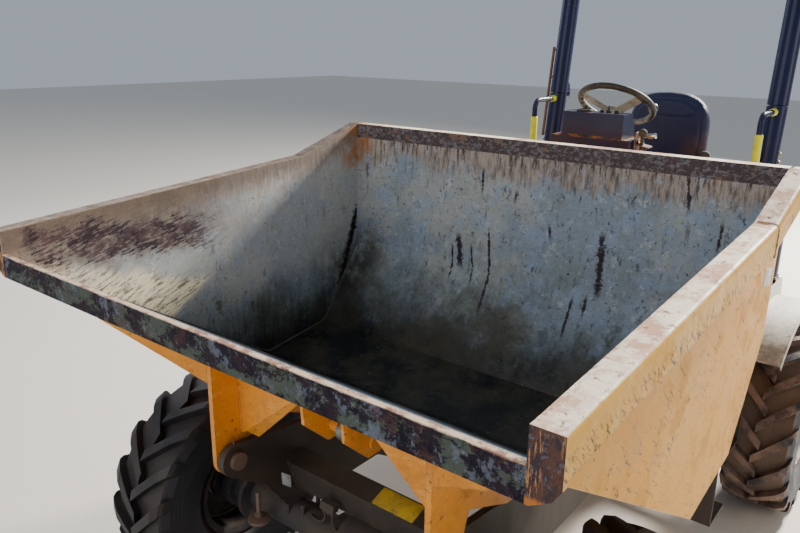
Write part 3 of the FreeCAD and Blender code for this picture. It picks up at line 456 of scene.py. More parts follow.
def make_skip_side(name, sign):
    g = Graph(name)
    x, behind, z = behind_lip(g)
    x = g.times(x, sign)
    depth = g.sub(rim_height(g, behind), z)
    colour, rough, height = bare_inside(g, depth, g.add(z, g.times(behind, 0.03)), behind)
    colour = g.mix(g.rise(z, 1.05, 1.25, 0, 0.32), colour, (0.6, 0.57, 0.54))

    front = g.fall(behind, 0.55, 1.1)
    upper = g.times(g.rise(g.add(z, g.wobble(0.25, 7, 7, 0.7, seed=70)), 1.33, 1.44), front)
    umber = g.tones((0.21, 0.165, 0.13), (0.13, 0.102, 0.088), 0.45, 0.55, 12, 7, 0.75, seed=69)
    colour = g.over(colour, umber, upper, 0.85)
    under_rail = g.add(depth, g.wobble(0.12, 14, 7, 0.74, seed=67))
    colour = g.over(colour, (0.15, 0.11, 0.085), g.fall(under_rail, 0.02, 0.1), 0.7)
    # A painted sunlit patch at the front of the wall, bounded by a painted shadow edge of the back wall's
    # top; the cream is painted sunlight on the ridges, with their grooves in painted shade.
    shadow_edge = g.add(g.sub(z, g.times(behind, 0.62)), -0.78)
    ceiling = g.add(g.add(z, g.times(behind, 0.309)), g.wobble(0.16, 9, 7, 0.72, seed=68))
    painted_sun_patch = g.times(g.rise(shadow_edge, -0.015, 0.02), g.fall(ceiling, 1.42, 1.49), g.fall(behind, 0.7, 0.95))
    ridges = g.noise(1, 7, 0.8, stretch=(16, 14, 80), tilt=-24, seed=79)
    cream = g.mix(g.rise(ridges, 0.42, 0.52), (0.2, 0.15, 0.095), (0.84, 0.74, 0.54))
    cream = g.dab(cream, (0.4, 0.26, 0.16), 0.8, 0.58, 0.63, 14, 7, 0.75, seed=78)
    colour = g.over(colour, cream, painted_sun_patch, 0.92)
    brush = g.noise(1, 7, 0.84, stretch=(16, 17, 120), tilt=-14, seed=71)
    sweep = g.add(g.times(behind, -0.1), 1.495)
    band = g.fall(g.math("ABSOLUTE", g.sub(z, sweep)), 0.02, 0.12)
    reach = g.times(g.rise(behind, 0, 0.1), g.fall(behind, 0.6, 1))
    clumps = g.wobble(0.5, 9, 7, 0.7, seed=72)
    scuff = g.rise(g.add(g.add(brush, clumps), g.times(band, reach, 0.22)), 0.655, 0.7)
    purple = g.spots(0.45, 0.55, 15, 7, 0.75, seed=74)
    purple = g.mix(purple, (0.036, 0.022, 0.032), (0.085, 0.052, 0.056))
    colour = g.over(colour, purple, scuff, reach, 0.95)

    # Darker low towards the rear corner.
    rear_low_dark = g.times(g.rise(behind, 1.2, 1.5), g.fall(z, 1.08, 1.36))
    rear_low_dark = g.times(rear_low_dark, g.spots(0.34, 0.56, 7, 7, 0.72, seed=73))
    colour = g.over(colour, (0.025, 0.024, 0.02), rear_low_dark, 0.9)
    colour = g.mix(stroke(g, behind, z, (1.585, 1.4), (1.4, 0.88), 0.03, 75), colour, (0.022, 0.014, 0.012))
    corner = g.times(g.rise(behind, 1.44, 1.54), g.rise(z, 1.5, 1.62),
                     g.spots(0.42, 0.54, 9, 7, 0.7, seed=77))
    colour = g.over(colour, (0.42, 0.17, 0.055), corner, 0.85)
    height = g.add(height, g.times(ridges, g.fall(behind, 0.6, 1), 2.4))

    out_colour, out_rough, out_height = faded_outside(g, behind, z)
    outside = g.rise(x, *WALL_OUTSIDE)
    colour = g.mix(outside, colour, out_colour)
    rough = g.blur(outside, rough, out_rough)
    height = g.blur(outside, height, out_height)
    # A painted sunlit strip along the outer side's rear edge.
    sunlit_strip = g.times(g.rise(g.add(behind, g.times(z, 0.36)), 2.06, 2.075), outside)
    colour = g.over(colour, (0.72, 0.5, 0.24), sunlit_strip, 0.5)

    rail = g.rise(x, *RAIL_OUTSIDE)
    colour = g.over(colour, (0.58, 0.33, 0.06), rail, 0.75)
    pale = g.spots(0.5, 0.58, 8, 7, 0.75, seed=82)
    colour = g.over(colour, (0.64, 0.45, 0.21), rail, pale, 0.5)
    marks = g.spots(0.54, 0.565, 1, 7, 0.82, stretch=(14, 26, 120), tilt=48, seed=83)
    low = g.rise(g.add(depth, g.times(g.noise(7, 5, 0.6, seed=85), 0.05)), 0.045, 0.08)
    colour = g.over(colour, (0.055, 0.042, 0.04), rail, marks, low, 0.9)
    upward = g.rise(g.axes(g.facing)[2], 0.6, 0.85)
    colour = g.mix(upward, colour, scraped_rim(g, 0.1 if sign > 0 else 0.9))
    groove = g.times(rail, g.fall(g.math("ABSOLUTE", g.sub(behind, RIM_KINK + 0.012)), 0.0015, 0.004))
    colour = g.over(colour, (0.08, 0.05, 0.04), groove, 0.8)
    cap = g.times(g.fall(behind, 0.0006, 0.0012), g.fall(g.axes(g.facing)[1], -0.9, -0.7))
    colour = g.mix(cap, colour, rusty_plate(g, x, z))
    rough = g.blur(cap, rough, 0.75)
    edges = g.times(g.edge(0.006), g.spots(0.35, 0.6, 30, 6, 0.7, seed=87), g.flip(cap))
    colour = g.over(colour, (0.72, 0.6, 0.46), edges, 0.6)
    g.bump(height, 0.45, 0.005)
    return g.finish(colour, rough, g.times(cap, 0.2), shine=0.06)


# Dark marks on the back wall, in metres: (across, z) of their upper and lower ends, width
BACK_MARKS = (
    ((-0.311, 1.347), (-0.293, 1.188), 0.022),
    ((-0.167, 1.392), (-0.14, 1.052), 0.009),
    ((0.313, 1.453), (0.316, 1.195), 0.02),
    ((-0.208, 1.63), (-0.207, 1.517), 0.01),
    ((0.223, 1.19), (0.233, 1.04), 0.009),
    ((0.715, 1.555), (0.708, 1.442), 0.009),
    ((0.428, 1.615), (0.395, 1.561), 0.005),
    ((-0.05, 1.56), (-0.06, 1.5), 0.013),
    ((0.585, 1.702), (0.602, 1.561), 0.01),
    ((-0.249, 1.31), (-0.222, 1.14), 0.007),
    ((0.275, 1.21), (0.284, 1.12), 0.01),
    ((0.097, 1.45), (0.106, 1.38), 0.009),
    ((-0.34, 1.3), (-0.33, 1.14), 0.007),
)
# Dark blots low on the back wall, as (across, z) in metres
BACK_BLOTS = ((0.045, 1.032), (0.164, 1.054), (0.305, 1.079), (0.426, 1.114), (0.502, 1.137), (-0.209, 1.03))


def make_skip_sheet(name):
    """The floor and the back wall: scoured inside, painted outside."""
    g = Graph(name)
    x, behind, z = behind_lip(g)
    depth = g.add(g.sub(RIM_BACK_Z - 0.05, z), g.fall(behind, 0.3, 1.2))
    colour, rough, height = bare_inside(g, depth, z, behind)
    marks = None
    for number, (top, bottom, width) in enumerate(BACK_MARKS):
        mark = stroke(g, x, z, top, bottom, width, 101 + number)
        marks = mark if marks is None else g.most(marks, mark)
    rear = g.rise(behind, 1.3, 1.4)
    colour = g.over(colour, (0.035, 0.022, 0.028), marks, rear)
    ragged = g.times(g.sub(g.noise(11, 7, 0.75, seed=140), 0.35), 0.3)
    for across, up in BACK_BLOTS:
        blot = g.fall(g.add(g.span((across, 0, up), (1, 0, 1)), ragged), 0.045, 0.07)
        colour = g.over(colour, (0.045, 0.047, 0.04), blot, rear, 0.5)
    right = g.times(g.fall(x, -0.8, -0.6), g.rise(behind, 1.25, 1.45), g.fall(z, 1.14, 1.42))
    right = g.times(right, g.spots(0.34, 0.56, 7, 7, 0.72, seed=143))
    colour = g.over(colour, (0.026, 0.026, 0.02), right, 0.9)
    corner = g.times(g.fall(x, -0.84, -0.76), g.rise(z, 1.54, 1.62),
                     g.spots(0.42, 0.54, 9, 7, 0.7, seed=144))
    colour = g.over(colour, (0.42, 0.17, 0.055), corner, 0.8)
    lit = g.times(g.fall(behind, 0.06, 0.2), g.spots(0.32, 0.5, 14, 7, 0.72, seed=145))
    colour = g.mix(lit, colour, (0.74, 0.6, 0.48))
    wet = g.times(g.rise(behind, 0.5, 0.9), g.fall(z, 0.93, 1.02),
                  g.spots(0.42, 0.55, 5, 6, 0.6, seed=147))
    rough = g.blur(wet, rough, 0.15)
    band = g.times(g.fall(g.sub(RIM_BACK_Z, z), 0.059, 0.061), g.rise(behind, 1.5, 1.55))
    slate = g.spots(0.5, 0.56, 1, 7, 0.8, stretch=(60, 60, 90), seed=149)
    slate = g.mix(slate, (0.075, 0.05, 0.05), (0.19, 0.175, 0.185))
    slate = g.mix(g.spots(0.56, 0.62, 14, 7, 0.75, seed=150), slate, (0.21, 0.12, 0.08))
    colour = g.mix(band, colour, slate)
    out_colour, out_rough, out_height = faded_outside(g, behind, z)
    normal = g.axes(g.facing)
    outside = g.rise(g.sub(normal[1], normal[2]), 0, 0.1)
    colour = g.mix(outside, colour, out_colour)
    rough = g.blur(outside, rough, out_rough)
    top = g.times(g.rise(normal[2], 0.9, 0.95), g.rise(z, RIM_BACK_Z - 0.004, RIM_BACK_Z - 0.001))
    colour = g.mix(top, colour, scraped_rim(g))
    g.bump(g.blur(outside, height, out_height), 0.45, 0.005)
    return g.finish(colour, rough, shine=0.25)


def make_lip():
    g = Graph("lip_scaled")
    x, behind, z = behind_lip(g)
    colour = g.spots(0.42, 0.56, 16, 7, 0.74, seed=201)
    colour = g.mix(colour, (0.009, 0.008, 0.018), (0.024, 0.015, 0.024))
    sage = g.spots(0.5, 0.525, 1, 7, 0.78, stretch=(9, 9, 15), seed=203)
    colour = g.over(colour, (0.078, 0.098, 0.08), sage, 0.9)
    colour = g.dab(colour, (0.125, 0.145, 0.195), 0.85, 0.555, 0.585, 1, 7, 0.8, stretch=(20, 20, 14),
                   seed=205)  # slate blue
    colour = g.dab(colour, (0.21, 0.22, 0.25), 0.6, 0.59, 0.62, 55, 7, 0.8, seed=206)  # pale flecks
    colour = g.dab(colour, (0.085, 0.036, 0.034), 0.6, 0.56, 0.59, 12, 7, 0.78, seed=207)  # rust
    colour = g.dab(colour, (0.018, 0.014, 0.022), 0.9, 0.58, 0.61, 1, 7, 0.78, stretch=(34, 34, 20),
                   seed=208)  # dark scale
    worn = g.add(g.wobble(0.014, 12, 7, 0.74, seed=209), z)
    bright = g.most(g.rise(worn, LIP_TOP - 0.0045, LIP_TOP - 0.001), g.rise(behind, 0.004, 0.01))
    scraped = g.tones((0.74, 0.55, 0.41), (0.34, 0.19, 0.14), 0.46, 0.58, 18, 7, 0.76, seed=211)
    scraped = g.dab(scraped, (0.05, 0.03, 0.03), 1, 0.63, 0.66, 30, 7, 0.75, seed=212)
    colour = g.mix(bright, colour, scraped)
    g.bump(g.add(g.times(g.noise(26, 7, 0.74, seed=213), 0.8), g.times(sage, 0.25)), 0.7, 0.006)
    return g.finish(colour, g.blur(bright, 0.62, 0.4), g.times(bright, 0.1), shine=0.12)


def make_tyre(name, side, axle_y, dust_share, wall_colour):
    """Rubber with dusty lugs, mud between them and ringed, scuffed sidewalls."""
    g = Graph(name)
    x = g.axes()[0]
    radius = g.span((0, axle_y, AXLE_Z), (0, 1, 1))
    outward = g.math("ABSOLUTE", g.sub(x, side * HALF_TRACK))
    dust = g.times(g.spots(0.36, 0.6, 7, 7, 0.74, seed=221), dust_share)
    colour = g.mix(dust, (0.006, 0.008, 0.015), (0.23, 0.145, 0.105))
    between = g.times(g.fall(radius, 0.402, 0.412), g.fall(outward, 0.12, 0.13), dust_share)
    colour = g.over(colour, (0.115, 0.078, 0.055), between, 0.75)
    wall = g.times(g.rise(outward, 0.118, 0.128), g.fall(radius, 0.385, 0.4))
    colour = g.over(colour, wall_colour, wall, 0.85)
    scuff = g.times(wall, g.spots(0.5, 0.58, 1, 7, 0.78, stretch=(20, 9, 30), seed=229), dust_share)
    colour = g.over(colour, (0.075, 0.072, 0.075), scuff, 0.8)
    edges = g.times(g.edge(0.012, (0.01, 0.15)), g.spots(0.35, 0.6, 25, 7, 0.7, seed=223),
                    0.1 + dust_share)
    colour = g.over(colour, (0.105, 0.075, 0.055), edges, 0.55)
    fine = g.noise(120, 5, 0.7, seed=225)
    colour = g.over(colour, (0.025, 0.025, 0.032), g.rise(fine, 0.5, 0.7), 0.3)
    cuts = g.spots(0.645, 0.67, 1, 7, 0.75, stretch=(60, 22, 22), seed=227)
    colour = g.mix(cuts, colour, (0.005, 0.005, 0.006))
    rings = g.times(g.math("SINE", g.times(radius, 420)), wall, 0.2)
    g.bump(g.add(g.add(g.times(fine, 0.4), g.times(g.flip(cuts), 0.5)), rings), 0.4, 0.003)
    return g.finish(colour, g.blur(dust, 0.5, 0.85))


def make_rim(name, side):
    """The wheel's off-white paint, chipped outside and caked with dark dirt inside."""
    g = Graph(name)
    x = g.axes()[0]
    colour = g.tones((0.6, 0.58, 0.51), (0.44, 0.42, 0.37), 0.4, 0.6, 6, 7, 0.65)
    colour = g.dab(colour, (0.19, 0.085, 0.04), 1, 0.6, 0.65, 18, 7, 0.75, seed=2)  # rust
    soil = g.spots(0.44, 0.6, 7, 7, 0.74, seed=4)
    colour = g.over(colour, (0.12, 0.09, 0.065), soil, 0.6)
    inner = g.most(g.fall(g.times(x, side), HALF_TRACK - 0.012, HALF_TRACK + 0.004),
                   g.fall(g.times(g.axes(g.facing)[0], side), -0.5, -0.2))
    dark = g.tones((0.018, 0.016, 0.018), (0.05, 0.036, 0.026), 0.45, 0.6, 16, 7, 0.74, seed=5)
    colour = g.mix(inner, colour, dark)
    g.bump(g.noise(40, 7, 0.7, seed=6), 0.3, 0.002)
    return g.finish(colour, g.blur(g.most(soil, inner), 0.5, 0.85))


def make_orange():
    """Strong orange paint with pale scuffs, brown grime, dark specks and dark chipped edges."""
    g = Graph("orange_chipped")
    colour = g.tones((0.88, 0.36, 0.03), (0.76, 0.285, 0.02), 0.4, 0.6, 3, 6, 0.6)
    colour = g.dab(colour, (0.88, 0.52, 0.16), 0.5, 0.55, 0.62, 1, 7, 0.76, stretch=(10, 10, 24),
                   seed=2)  # pale scuffs
    grime = g.spots(0.48, 0.68, 5.5, 7, 0.74, seed=3)
    colour = g.over(colour, (0.36, 0.14, 0.03), grime, 0.5)
    colour = g.dab(colour, (0.035, 0.022, 0.022), 0.9, 0.62, 0.64, 75, 7, 0.76, seed=4)
    colour = g.dab(colour, (0.1, 0.04, 0.022), 0.9, 0.625, 0.64, 26, 7, 0.76, seed=5)
    chipped = g.times(g.edge(0.007, (0.01, 0.15)), g.spots(0.42, 0.52, 42, 7, 0.76, seed=6))
    colour = g.over(colour, (0.06, 0.035, 0.028), chipped, 0.85)
    g.bump(g.noise(50, 7, 0.7, seed=7), 0.2, 0.002)
    return g.finish(colour, g.blur(grime, 0.42, 0.7))


def make_navy(name, rust_share, dust=0.5, gloss=0.3, ledge=None):
    """Glossy dark blue paint, rusting through along its edges, dusty where it lies flat."""
    g = Graph(name)
    colour = g.tones((0.003, 0.007, 0.045), (0.006, 0.011, 0.055), 0.4, 0.6, 4, 7, 0.65)
    worn = g.edge(0.01, (0.01, 0.2))
    rust = g.add(g.noise(16, 7, 0.76, seed=3), g.times(worn, 0.13 * rust_share))
    rust = g.rise(rust, 0.665, 0.7)
    if ledge:
        line = g.fall(g.math("ABSOLUTE", g.sub(g.axes()[2], ledge)), 0.002, 0.006)
        rust = g.most(rust, g.times(line, g.spots(0.46, 0.54, 26, 7, 0.76, seed=8)))
    orange = g.tones((0.34, 0.13, 0.04), (0.15, 0.07, 0.035), 0.45, 0.55, 30, 7, 0.75, seed=4)
    colour = g.mix(rust, colour, orange)
    haze = g.times(g.rise(g.axes(g.facing)[2], 0.3, 0.9), g.spots(0.35, 0.6, 9, 7, 0.72, seed=5), dust)
    smear = g.times(g.spots(0.52, 0.68, 1, 7, 0.72, stretch=(7, 7, 1.6), seed=6), dust * 0.12)
    soft = g.most(haze, smear)
    colour = g.over(colour, (0.1, 0.085, 0.075), soft, 0.7)
    g.bump(g.add(g.times(g.noise(90, 4, 0.6, seed=7), 0.25), g.times(rust, -0.5)), 0.25, 0.002)
    return g.finish(colour, g.blur(g.most(soft, rust), gloss, 0.8), shine=0.3)


def make_fender():
    g = Graph("fender_marked")
    z = g.axes()[2]
    colour = g.tones((0.74, 0.73, 0.67), (0.6, 0.585, 0.53), 0.4, 0.6, 3, 7, 0.62)
    drips = g.times(g.spots(0.57, 0.62, 1, 7, 0.75, stretch=(36, 36, 5), seed=2),
                    g.spots(0.45, 0.6, 5, 5, 0.6, seed=3))
    colour = g.over(colour, (0.4, 0.2, 0.09), drips, 0.75)
    colour = g.dab(colour, (0.2, 0.09, 0.05), 1, 0.61, 0.64, 26, 7, 0.77, seed=4)
    edges = g.times(g.edge(0.012, (0.01, 0.2)), g.spots(0.4, 0.52, 20, 7, 0.75, seed=5))
    colour = g.over(colour, (0.26, 0.12, 0.06), edges, 0.9)
    below = g.fall(g.axes(g.facing)[2], -0.4, -0.1)
    colour = g.mix(below, colour, (0.07, 0.055, 0.045))
    splashed = g.times(g.fall(z, 0.86, 1), g.spots(0.42, 0.6, 6, 7, 0.74, seed=6), 0.8)
    colour = g.mix(splashed, colour, (0.16, 0.12, 0.085))
    g.bump(g.noise(12, 7, 0.65, seed=7), 0.2, 0.003)
    return g.finish(colour, g.blur(edges, 0.45, 0.8))


def make_steering():
    """A worn brown-grey rim with a painted highlight on its inner edge, cream-grey spokes and a black hub and
    knob.
    """
    g = Graph("steering_worn_painted_highlight")
    turn = g.new("ShaderNodeVectorRotate", rotation_type="X_AXIS")
    g.plug(turn.inputs["Vector"], g.place)
    turn.inputs["Center"].default_value = STEERING_HUB
    turn.inputs["Angle"].default_value = math.radians(STEERING_TILT)
    flat = turn.outputs[0]
    node = g.new("ShaderNodeVectorMath", operation="DISTANCE")
    g.plug(node.inputs[0], g.stretch((1, 1, 0), flat))
    g.plug(node.inputs[1], (STEERING_HUB.x, STEERING_HUB.y, 0))
    radius = node.outputs["Value"]
    height = g.sub(g.axes(flat)[2], STEERING_HUB.z)
    spokes = g.tones((0.36, 0.33, 0.235), (0.22, 0.195, 0.14), 0.42, 0.58, 24, 7, 0.74, seed=2)
    worn = g.spots(0.42, 0.6, 18, 7, 0.76, seed=3)
    rim = g.mix(worn, (0.012, 0.01, 0.011), (0.045, 0.032, 0.026))
    # A painted highlight along the rim's inner edge, broken up by the worn spots.
    rim = g.over(rim, (0.46, 0.42, 0.34), g.fall(radius, 0.158, 0.166), worn, 0.8)
    colour = g.mix(g.rise(radius, 0.142, 0.149), spokes, rim)
    black = g.most(g.fall(radius, 0.036, 0.039), g.rise(height, 0.016, 0.019))
    colour = g.mix(black, colour, (0.012, 0.012, 0.015))
    g.bump(g.noise(60, 6, 0.7, seed=4), 0.25, 0.0015)
    return g.finish(colour, g.blur(black, 0.6, 0.35))


def make_skin():
    """Dark blue vinyl with fine grain, rubbed brown at its lower right edge."""
    g = Graph("seat_vinyl")
    x, y, z = g.axes()
    colour = g.tones((0.003, 0.008, 0.05), (0.006, 0.0125, 0.06), 0.4, 0.6, 5, 7, 0.65)
    rubbed = g.times(g.rise(x, 0.02, 0.17), g.fall(z, 1.56, 1.7),
                     g.spots(0.44, 0.56, 11, 7, 0.74, seed=2))
    colour = g.over(colour, (0.12, 0.055, 0.022), rubbed, 0.6)
    dusty = g.times(g.rise(g.axes(g.facing)[2], 0.4, 0.95), g.spots(0.35, 0.62, 9, 7, 0.72, seed=3))
    colour = g.over(colour, (0.07, 0.065, 0.065), dusty, 0.3)
    grain = g.new("ShaderNodeTexVoronoi", feature="DISTANCE_TO_EDGE")
    g.plug(grain.inputs["Vector"], g.place)
    grain.inputs["Scale"].default_value = 420
    colour = g.dab(colour, (0.035, 0.03, 0.035), 0.6, 0.62, 0.65, 30, 7, 0.78, seed=4)  # cracks
    grain = g.rise(grain.outputs["Distance"], 0, 0.12)
    g.bump(g.add(grain, g.times(g.noise(14, 5, 0.6), 1.5)), 0.25, 0.0015)
    return g.finish(colour, g.blur(g.most(rubbed, dusty), 0.38, 0.75), shine=0.35)


def make_sleeve():
    g = Graph("sleeve_yellow_green")
    colour = g.tones((0.7, 0.72, 0.018), (0.6, 0.62, 0.02), 0.4, 0.6, 20, 6, 0.65)
    colour = g.dab(colour, (0.25, 0.22, 0.06), 0.7, 0.6, 0.66, 50, 7, 0.75, seed=2)
    g.bump(g.noise(150, 4, 0.6), 0.2, 0.001)
    return g.finish(colour, 0.42)


def make_label(name, colour, dark, dirt):
    """A blank, scratched and dirty plate or label."""
    g = Graph(name)
    face = g.mix(g.spots(0.4, 0.6, 14, 7, 0.65), colour, dark)
    face = g.dab(face, (0.09, 0.07, 0.05), 0.8, 0.58, 0.61, 1, 7, 0.8, stretch=(60, 60, 22),
                 seed=3)  # scratches
    face = g.dab(face, (0.12, 0.09, 0.06), dirt, 0.46, 0.6, 22, 7, 0.75, seed=4)
    g.bump(g.noise(80, 5, 0.65), 0.2, 0.001)
    return g.finish(face, 0.5)


def make_bright(name, colour, rust_share, rough=0.22):
    """Plated or bare steel, dulled and spotted with rust."""
    g = Graph(name)
    base = g.mix(g.spots(0.4, 0.6, 30, 6, 0.65), colour, tuple(c * 0.7 for c in colour))
    rust = g.spots(0.62 - 0.2 * rust_share, 0.68 - 0.2 * rust_share, 45, 7, 0.76, seed=2)
    g.bump(g.noise(120, 5, 0.65), 0.15, 0.001)
    return g.finish(g.mix(rust, base, (0.15, 0.07, 0.035)), g.blur(rust, rough, 0.8), g.flip(rust))


# Pieces in mesh code
def add_piece(name, mesher, material, body, slot, sharp=38):
    """A new object from a function that fills a bmesh, riding on a body."""
    shape = bmesh.new()
    mesher(shape)
    bmesh.ops.remove_doubles(shape, verts=shape.verts, dist=1e-6)
    bmesh.ops.recalc_face_normals(shape, faces=shape.faces)
    mesh = bpy.data.meshes.new(name)
    shape.to_mesh(mesh)
    shape.free()
    for polygon in mesh.polygons:
        polygon.use_smooth = True
    mesh.set_sharp_from_angle(angle=math.radians(sharp))
    piece = bpy.data.objects.new(name, mesh)
    bpy.context.collection.objects.link(piece)
    mesh.materials.append(material)
    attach(piece, body)
    return piece


def sweep(shape, points, radii, sides=12):
    """A closed tube through points, with one radius at each."""
    if not hasattr(radii, "__len__"):
        radii = [radii] * len(points)
    rings = []
    normal = None
    for number, point in enumerate(points):
        way = (points[min(number + 1, len(points) - 1)] - points[max(number - 1, 0)]).normalized()
        normal = way.orthogonal() if normal is None else normal
        normal = (normal - way * normal.dot(way)).normalized()
        other = way.cross(normal)
        ring = []
        for step in range(sides):
            angle = 2 * math.pi * step / sides
            outward = normal * math.cos(angle) + other * math.sin(angle)
            ring.append(shape.verts.new(point + outward * radii[number]))
        rings.append(ring)
    bridge(shape, rings)


def bridge(shape, rings):
    """Faces between rings of equally many points, closed at both ends."""
    count = len(rings[0])
    for a, b in zip(rings, rings[1:]):
        for k in range(count):
            shape.faces.new((a[k], a[(k + 1) % count], b[(k + 1) % count], b[k]))
    shape.faces.new(rings[0][::-1])
    shape.faces.new(rings[-1])


def lathe(shape, profile, centre, axis, steps=24, spin=0):
    """A solid turned from (radius, distance along the axis) points."""
    axis = Vector(axis).normalized()
    side = axis.orthogonal().normalized()
    other = axis.cross(side)
    rings = []
    for radius, height in profile:
        ring = []
        for step in range(steps):
            angle = 2 * math.pi * step / steps + spin
            outward = side * math.cos(angle) + other * math.sin(angle)
            ring.append(shape.verts.new(centre + axis * height + outward * radius))
        rings.append(ring)
    bridge(shape, rings)


def hex_head(shape, centre, axis, radius=0.011, height=0.009, spin=0):
    """A bolt head: washer, chamfered hexagon."""
    lathe(shape, [(radius * 1.45, 0), (radius * 1.45, 0.0022), (radius * 1.3, 0.003)], centre, axis, 20)
    head = [(radius * 0.9, 0.002), (radius, 0.0035), (radius, height), (radius * 0.82, height + 0.0018)]
    lathe(shape, head, centre, axis, 6, spin)


def curve_through(points):
    """A smooth line through points."""
    out = []
    ends = [points[0] * 2 - points[1]] + list(points) + [points[-1] * 2 - points[-2]]
    for a, b, c, d in zip(ends, ends[1:], ends[2:], ends[3:]):
        for step in range(CURVE_STEPS):
            t = step / CURVE_STEPS
            out.append(0.5 * (2 * b + (c - a) * t + (2 * a - 5 * b + 4 * c - d) * t * t
                              + (3 * b - a - 3 * c + d) * t ** 3))
    return out + [points[-1]]


def bead(shape, points, radius):
    """A weld run: a thin ridge with its ripples."""
    line = []
    for a, b in zip(points, points[1:]):
        count = max(2, int((b - a).length / 0.007))
        line += [a.lerp(b, step / count) for step in range(count)]
    line.append(points[-1])
    radii = [radius * (0.85 + 0.18 * math.sin(k * 1.7) + RANDOM.uniform(-0.1, 0.1)) for k in range(len(line))]
    radii[0] = radii[-1] = radius * 0.4
    sweep(shape, line, radii, 6)


def rounded(points, radius):
    """A polygon's points with its corners rounded."""
    out = []
    for before, corner, after in zip(points[-1:] + points[:-1], points, points[1:] + points[:1]):
        a = corner + (before - corner).normalized() * radius
        b = corner + (after - corner).normalized() * radius
        for step in range(CORNER_STEPS + 1):
            t = step / CORNER_STEPS
            out.append((a * (1 - t) + corner * t) * (1 - t) + (corner * (1 - t) + b * t) * t)
    return out


def slab(shape, points, thick, radius=0.006, soften=0.0008):
    """A thin plate on a rounded outline, raised by the vector thick, its upper edge softened."""
    outline = rounded(points, radius)
    middle = sum(outline, Vector()) / len(outline)
    rings = []
    for rise, inset in ((0, 0), (0.6, 0), (0.9, 0.5), (1, 1)):
        rings.append([shape.verts.new(p + thick * rise + (middle - p).normalized() * soften * inset)
                      for p in outline])
    bridge(shape, rings)


def both(mesher):
    """The same mesh code on the left and mirrored on the right."""
    def filled(shape):
        for sign in (1, -1):
            mesher(shape, sign)
    return filled


def wheel_nuts(side, axle_y):
    """A wheel's nuts with their washers and studs, its valve and its hub cover."""
    def filled(shape):
        centre = Vector((side * (HALF_TRACK + WHEEL_FACE), axle_y, AXLE_Z))
        out = Vector((side, 0, 0))
        for number in range(NUT_COUNT):
            angle = 2 * math.pi * (number + 0.5) / NUT_COUNT
            place = centre + Vector((0, math.cos(angle), math.sin(angle))) * NUT_RING
            lathe(shape, [(0.021, 0), (0.021, 0.004), (0.017, 0.007)], place, out, 20)
            nut = [(0.0155, 0.005), (0.0165, 0.007), (0.0165, 0.022), (0.014, 0.0245)]
            lathe(shape, nut, place, out, 6, angle)
            lathe(shape, [(0.0085, 0.02), (0.0085, 0.033), (0.007, 0.0345)], place, out, 12)
        valve = centre + Vector((-side * 0.012, 0, VALVE_RING))
        stem = [(0.007, 0), (0.007, 0.006), (0.004, 0.008), (0.004, 0.03), (0.0055, 0.031),
                (0.0055, 0.04), (0.004, 0.042)]
        lathe(shape, stem, valve, out, 12)
        cover = [(0.06, 0.02), (0.06, 0.026), (0.052, 0.031), (0.018, 0.033), (0.016, 0.036), (0.01, 0.037)]
        lathe(shape, cover, centre, out, 32)
    return filled


def sleeves(shape, sign):
    """The plastic sleeve on a handle's upright run and the collar where it meets the post."""
    top = spot(sign * 550, 2600, 1732)
    bottom = spot(sign * 550, 2600, 1600)
    line = [top.lerp(bottom, t) for t in (0, 0.02, 0.05, 0.35, 0.65, 0.95, 0.98, 1)]
    sweep(shape, line, [0.014, 0.0165, 0.0172, 0.017, 0.0171, 0.0172, 0.0165, 0.014], 20)
    end = spot(sign * 550, 2812, 1815)
    line = [end + Vector((0, -0.001 * d, 0)) for d in (0, 4, 8, 30, 36, 40)]
    sweep(shape, line, [0.015, 0.018, 0.018, 0.017, 0.016, 0.014], 20)


def side_lever(shape):
    """The plated lever that points out of the bracket beside the console."""
    start, end = spot(176, 2150, 1735), spot(262, 2150, 1741)
    line = [start.lerp(end, t) for t in (0, 0.1, 0.3, 0.6, 0.62, 0.9, 0.97, 1)]
    sweep(shape, line, [0.01, 0.01, 0.008, 0.008, 0.011, 0.012, 0.011, 0.007], 16)
    boot = [(0.013, 0), (0.016, 0.004), (0.016, 0.016), (0.013, 0.02)]
    lathe(shape, boot, spot(196, 2150, 1700), (0, 0, 1), 20)


def lever_bracket(shape):
    """A bent rusty plate with a rod and its bolts, on the console's left side."""
    x = 181
    plate = run((x, 2110, 1640), (x, 2185, 1650), (x, 2180, 1755), (x, 2120, 1750))
    slab(shape, plate, Vector((0.006, 0, 0)), 0.012)
    shelf = run((x, 2120, 1700), (x + 60, 2120, 1690), (x + 60, 2180, 1690), (x, 2180, 1700))
    slab(shape, shelf, Vector((0, 0, 0.005)), 0.01)
    for d, z in ((2130, 1665), (2168, 1668)):
        hex_head(shape, spot(x + 6, d, z), (1, 0, 0), 0.008, 0.007, d)
    curl = run((225, 2140, 1695), (232, 2128, 1672), (222, 2116, 1655), (208, 2122, 1668), (214, 2136, 1690))
    sweep(shape, curve_through(curl), 0.0032, 8)


def seat_knob(shape):
    knob = [(0.01, 0), (0.01, 0.006), (0.022, 0.008), (0.025, 0.013), (0.025, 0.024), (0.021, 0.03),
            (0.012, 0.032)]
    lathe(shape, knob, spot(212, 3004, 1560), (0.5, -0.75, 0.1), 24)


def post_bolts(shape, sign):
    """Bolts through the posts, and those that hold their feet."""
    out = Vector((sign, 0, 0))
    for z in (1590, 1628):
        behind = POST_FOOT[0] + (z - POST_FOOT[1]) * math.tan(POST_LEAN)
        hex_head(shape, spot(sign * 594, behind, z), out, 0.009, 0.009, z)
        sweep(shape, [spot(sign * 585, behind, z), spot(sign * 597, behind, z)], 0.006, 10)
    for x, d in ((602, 2768), (602, 2832), (672, 2768), (672, 2832)):
        hex_head(shape, spot(sign * x, d, 1054), (0, 0, 1), 0.01, 0.009, x)


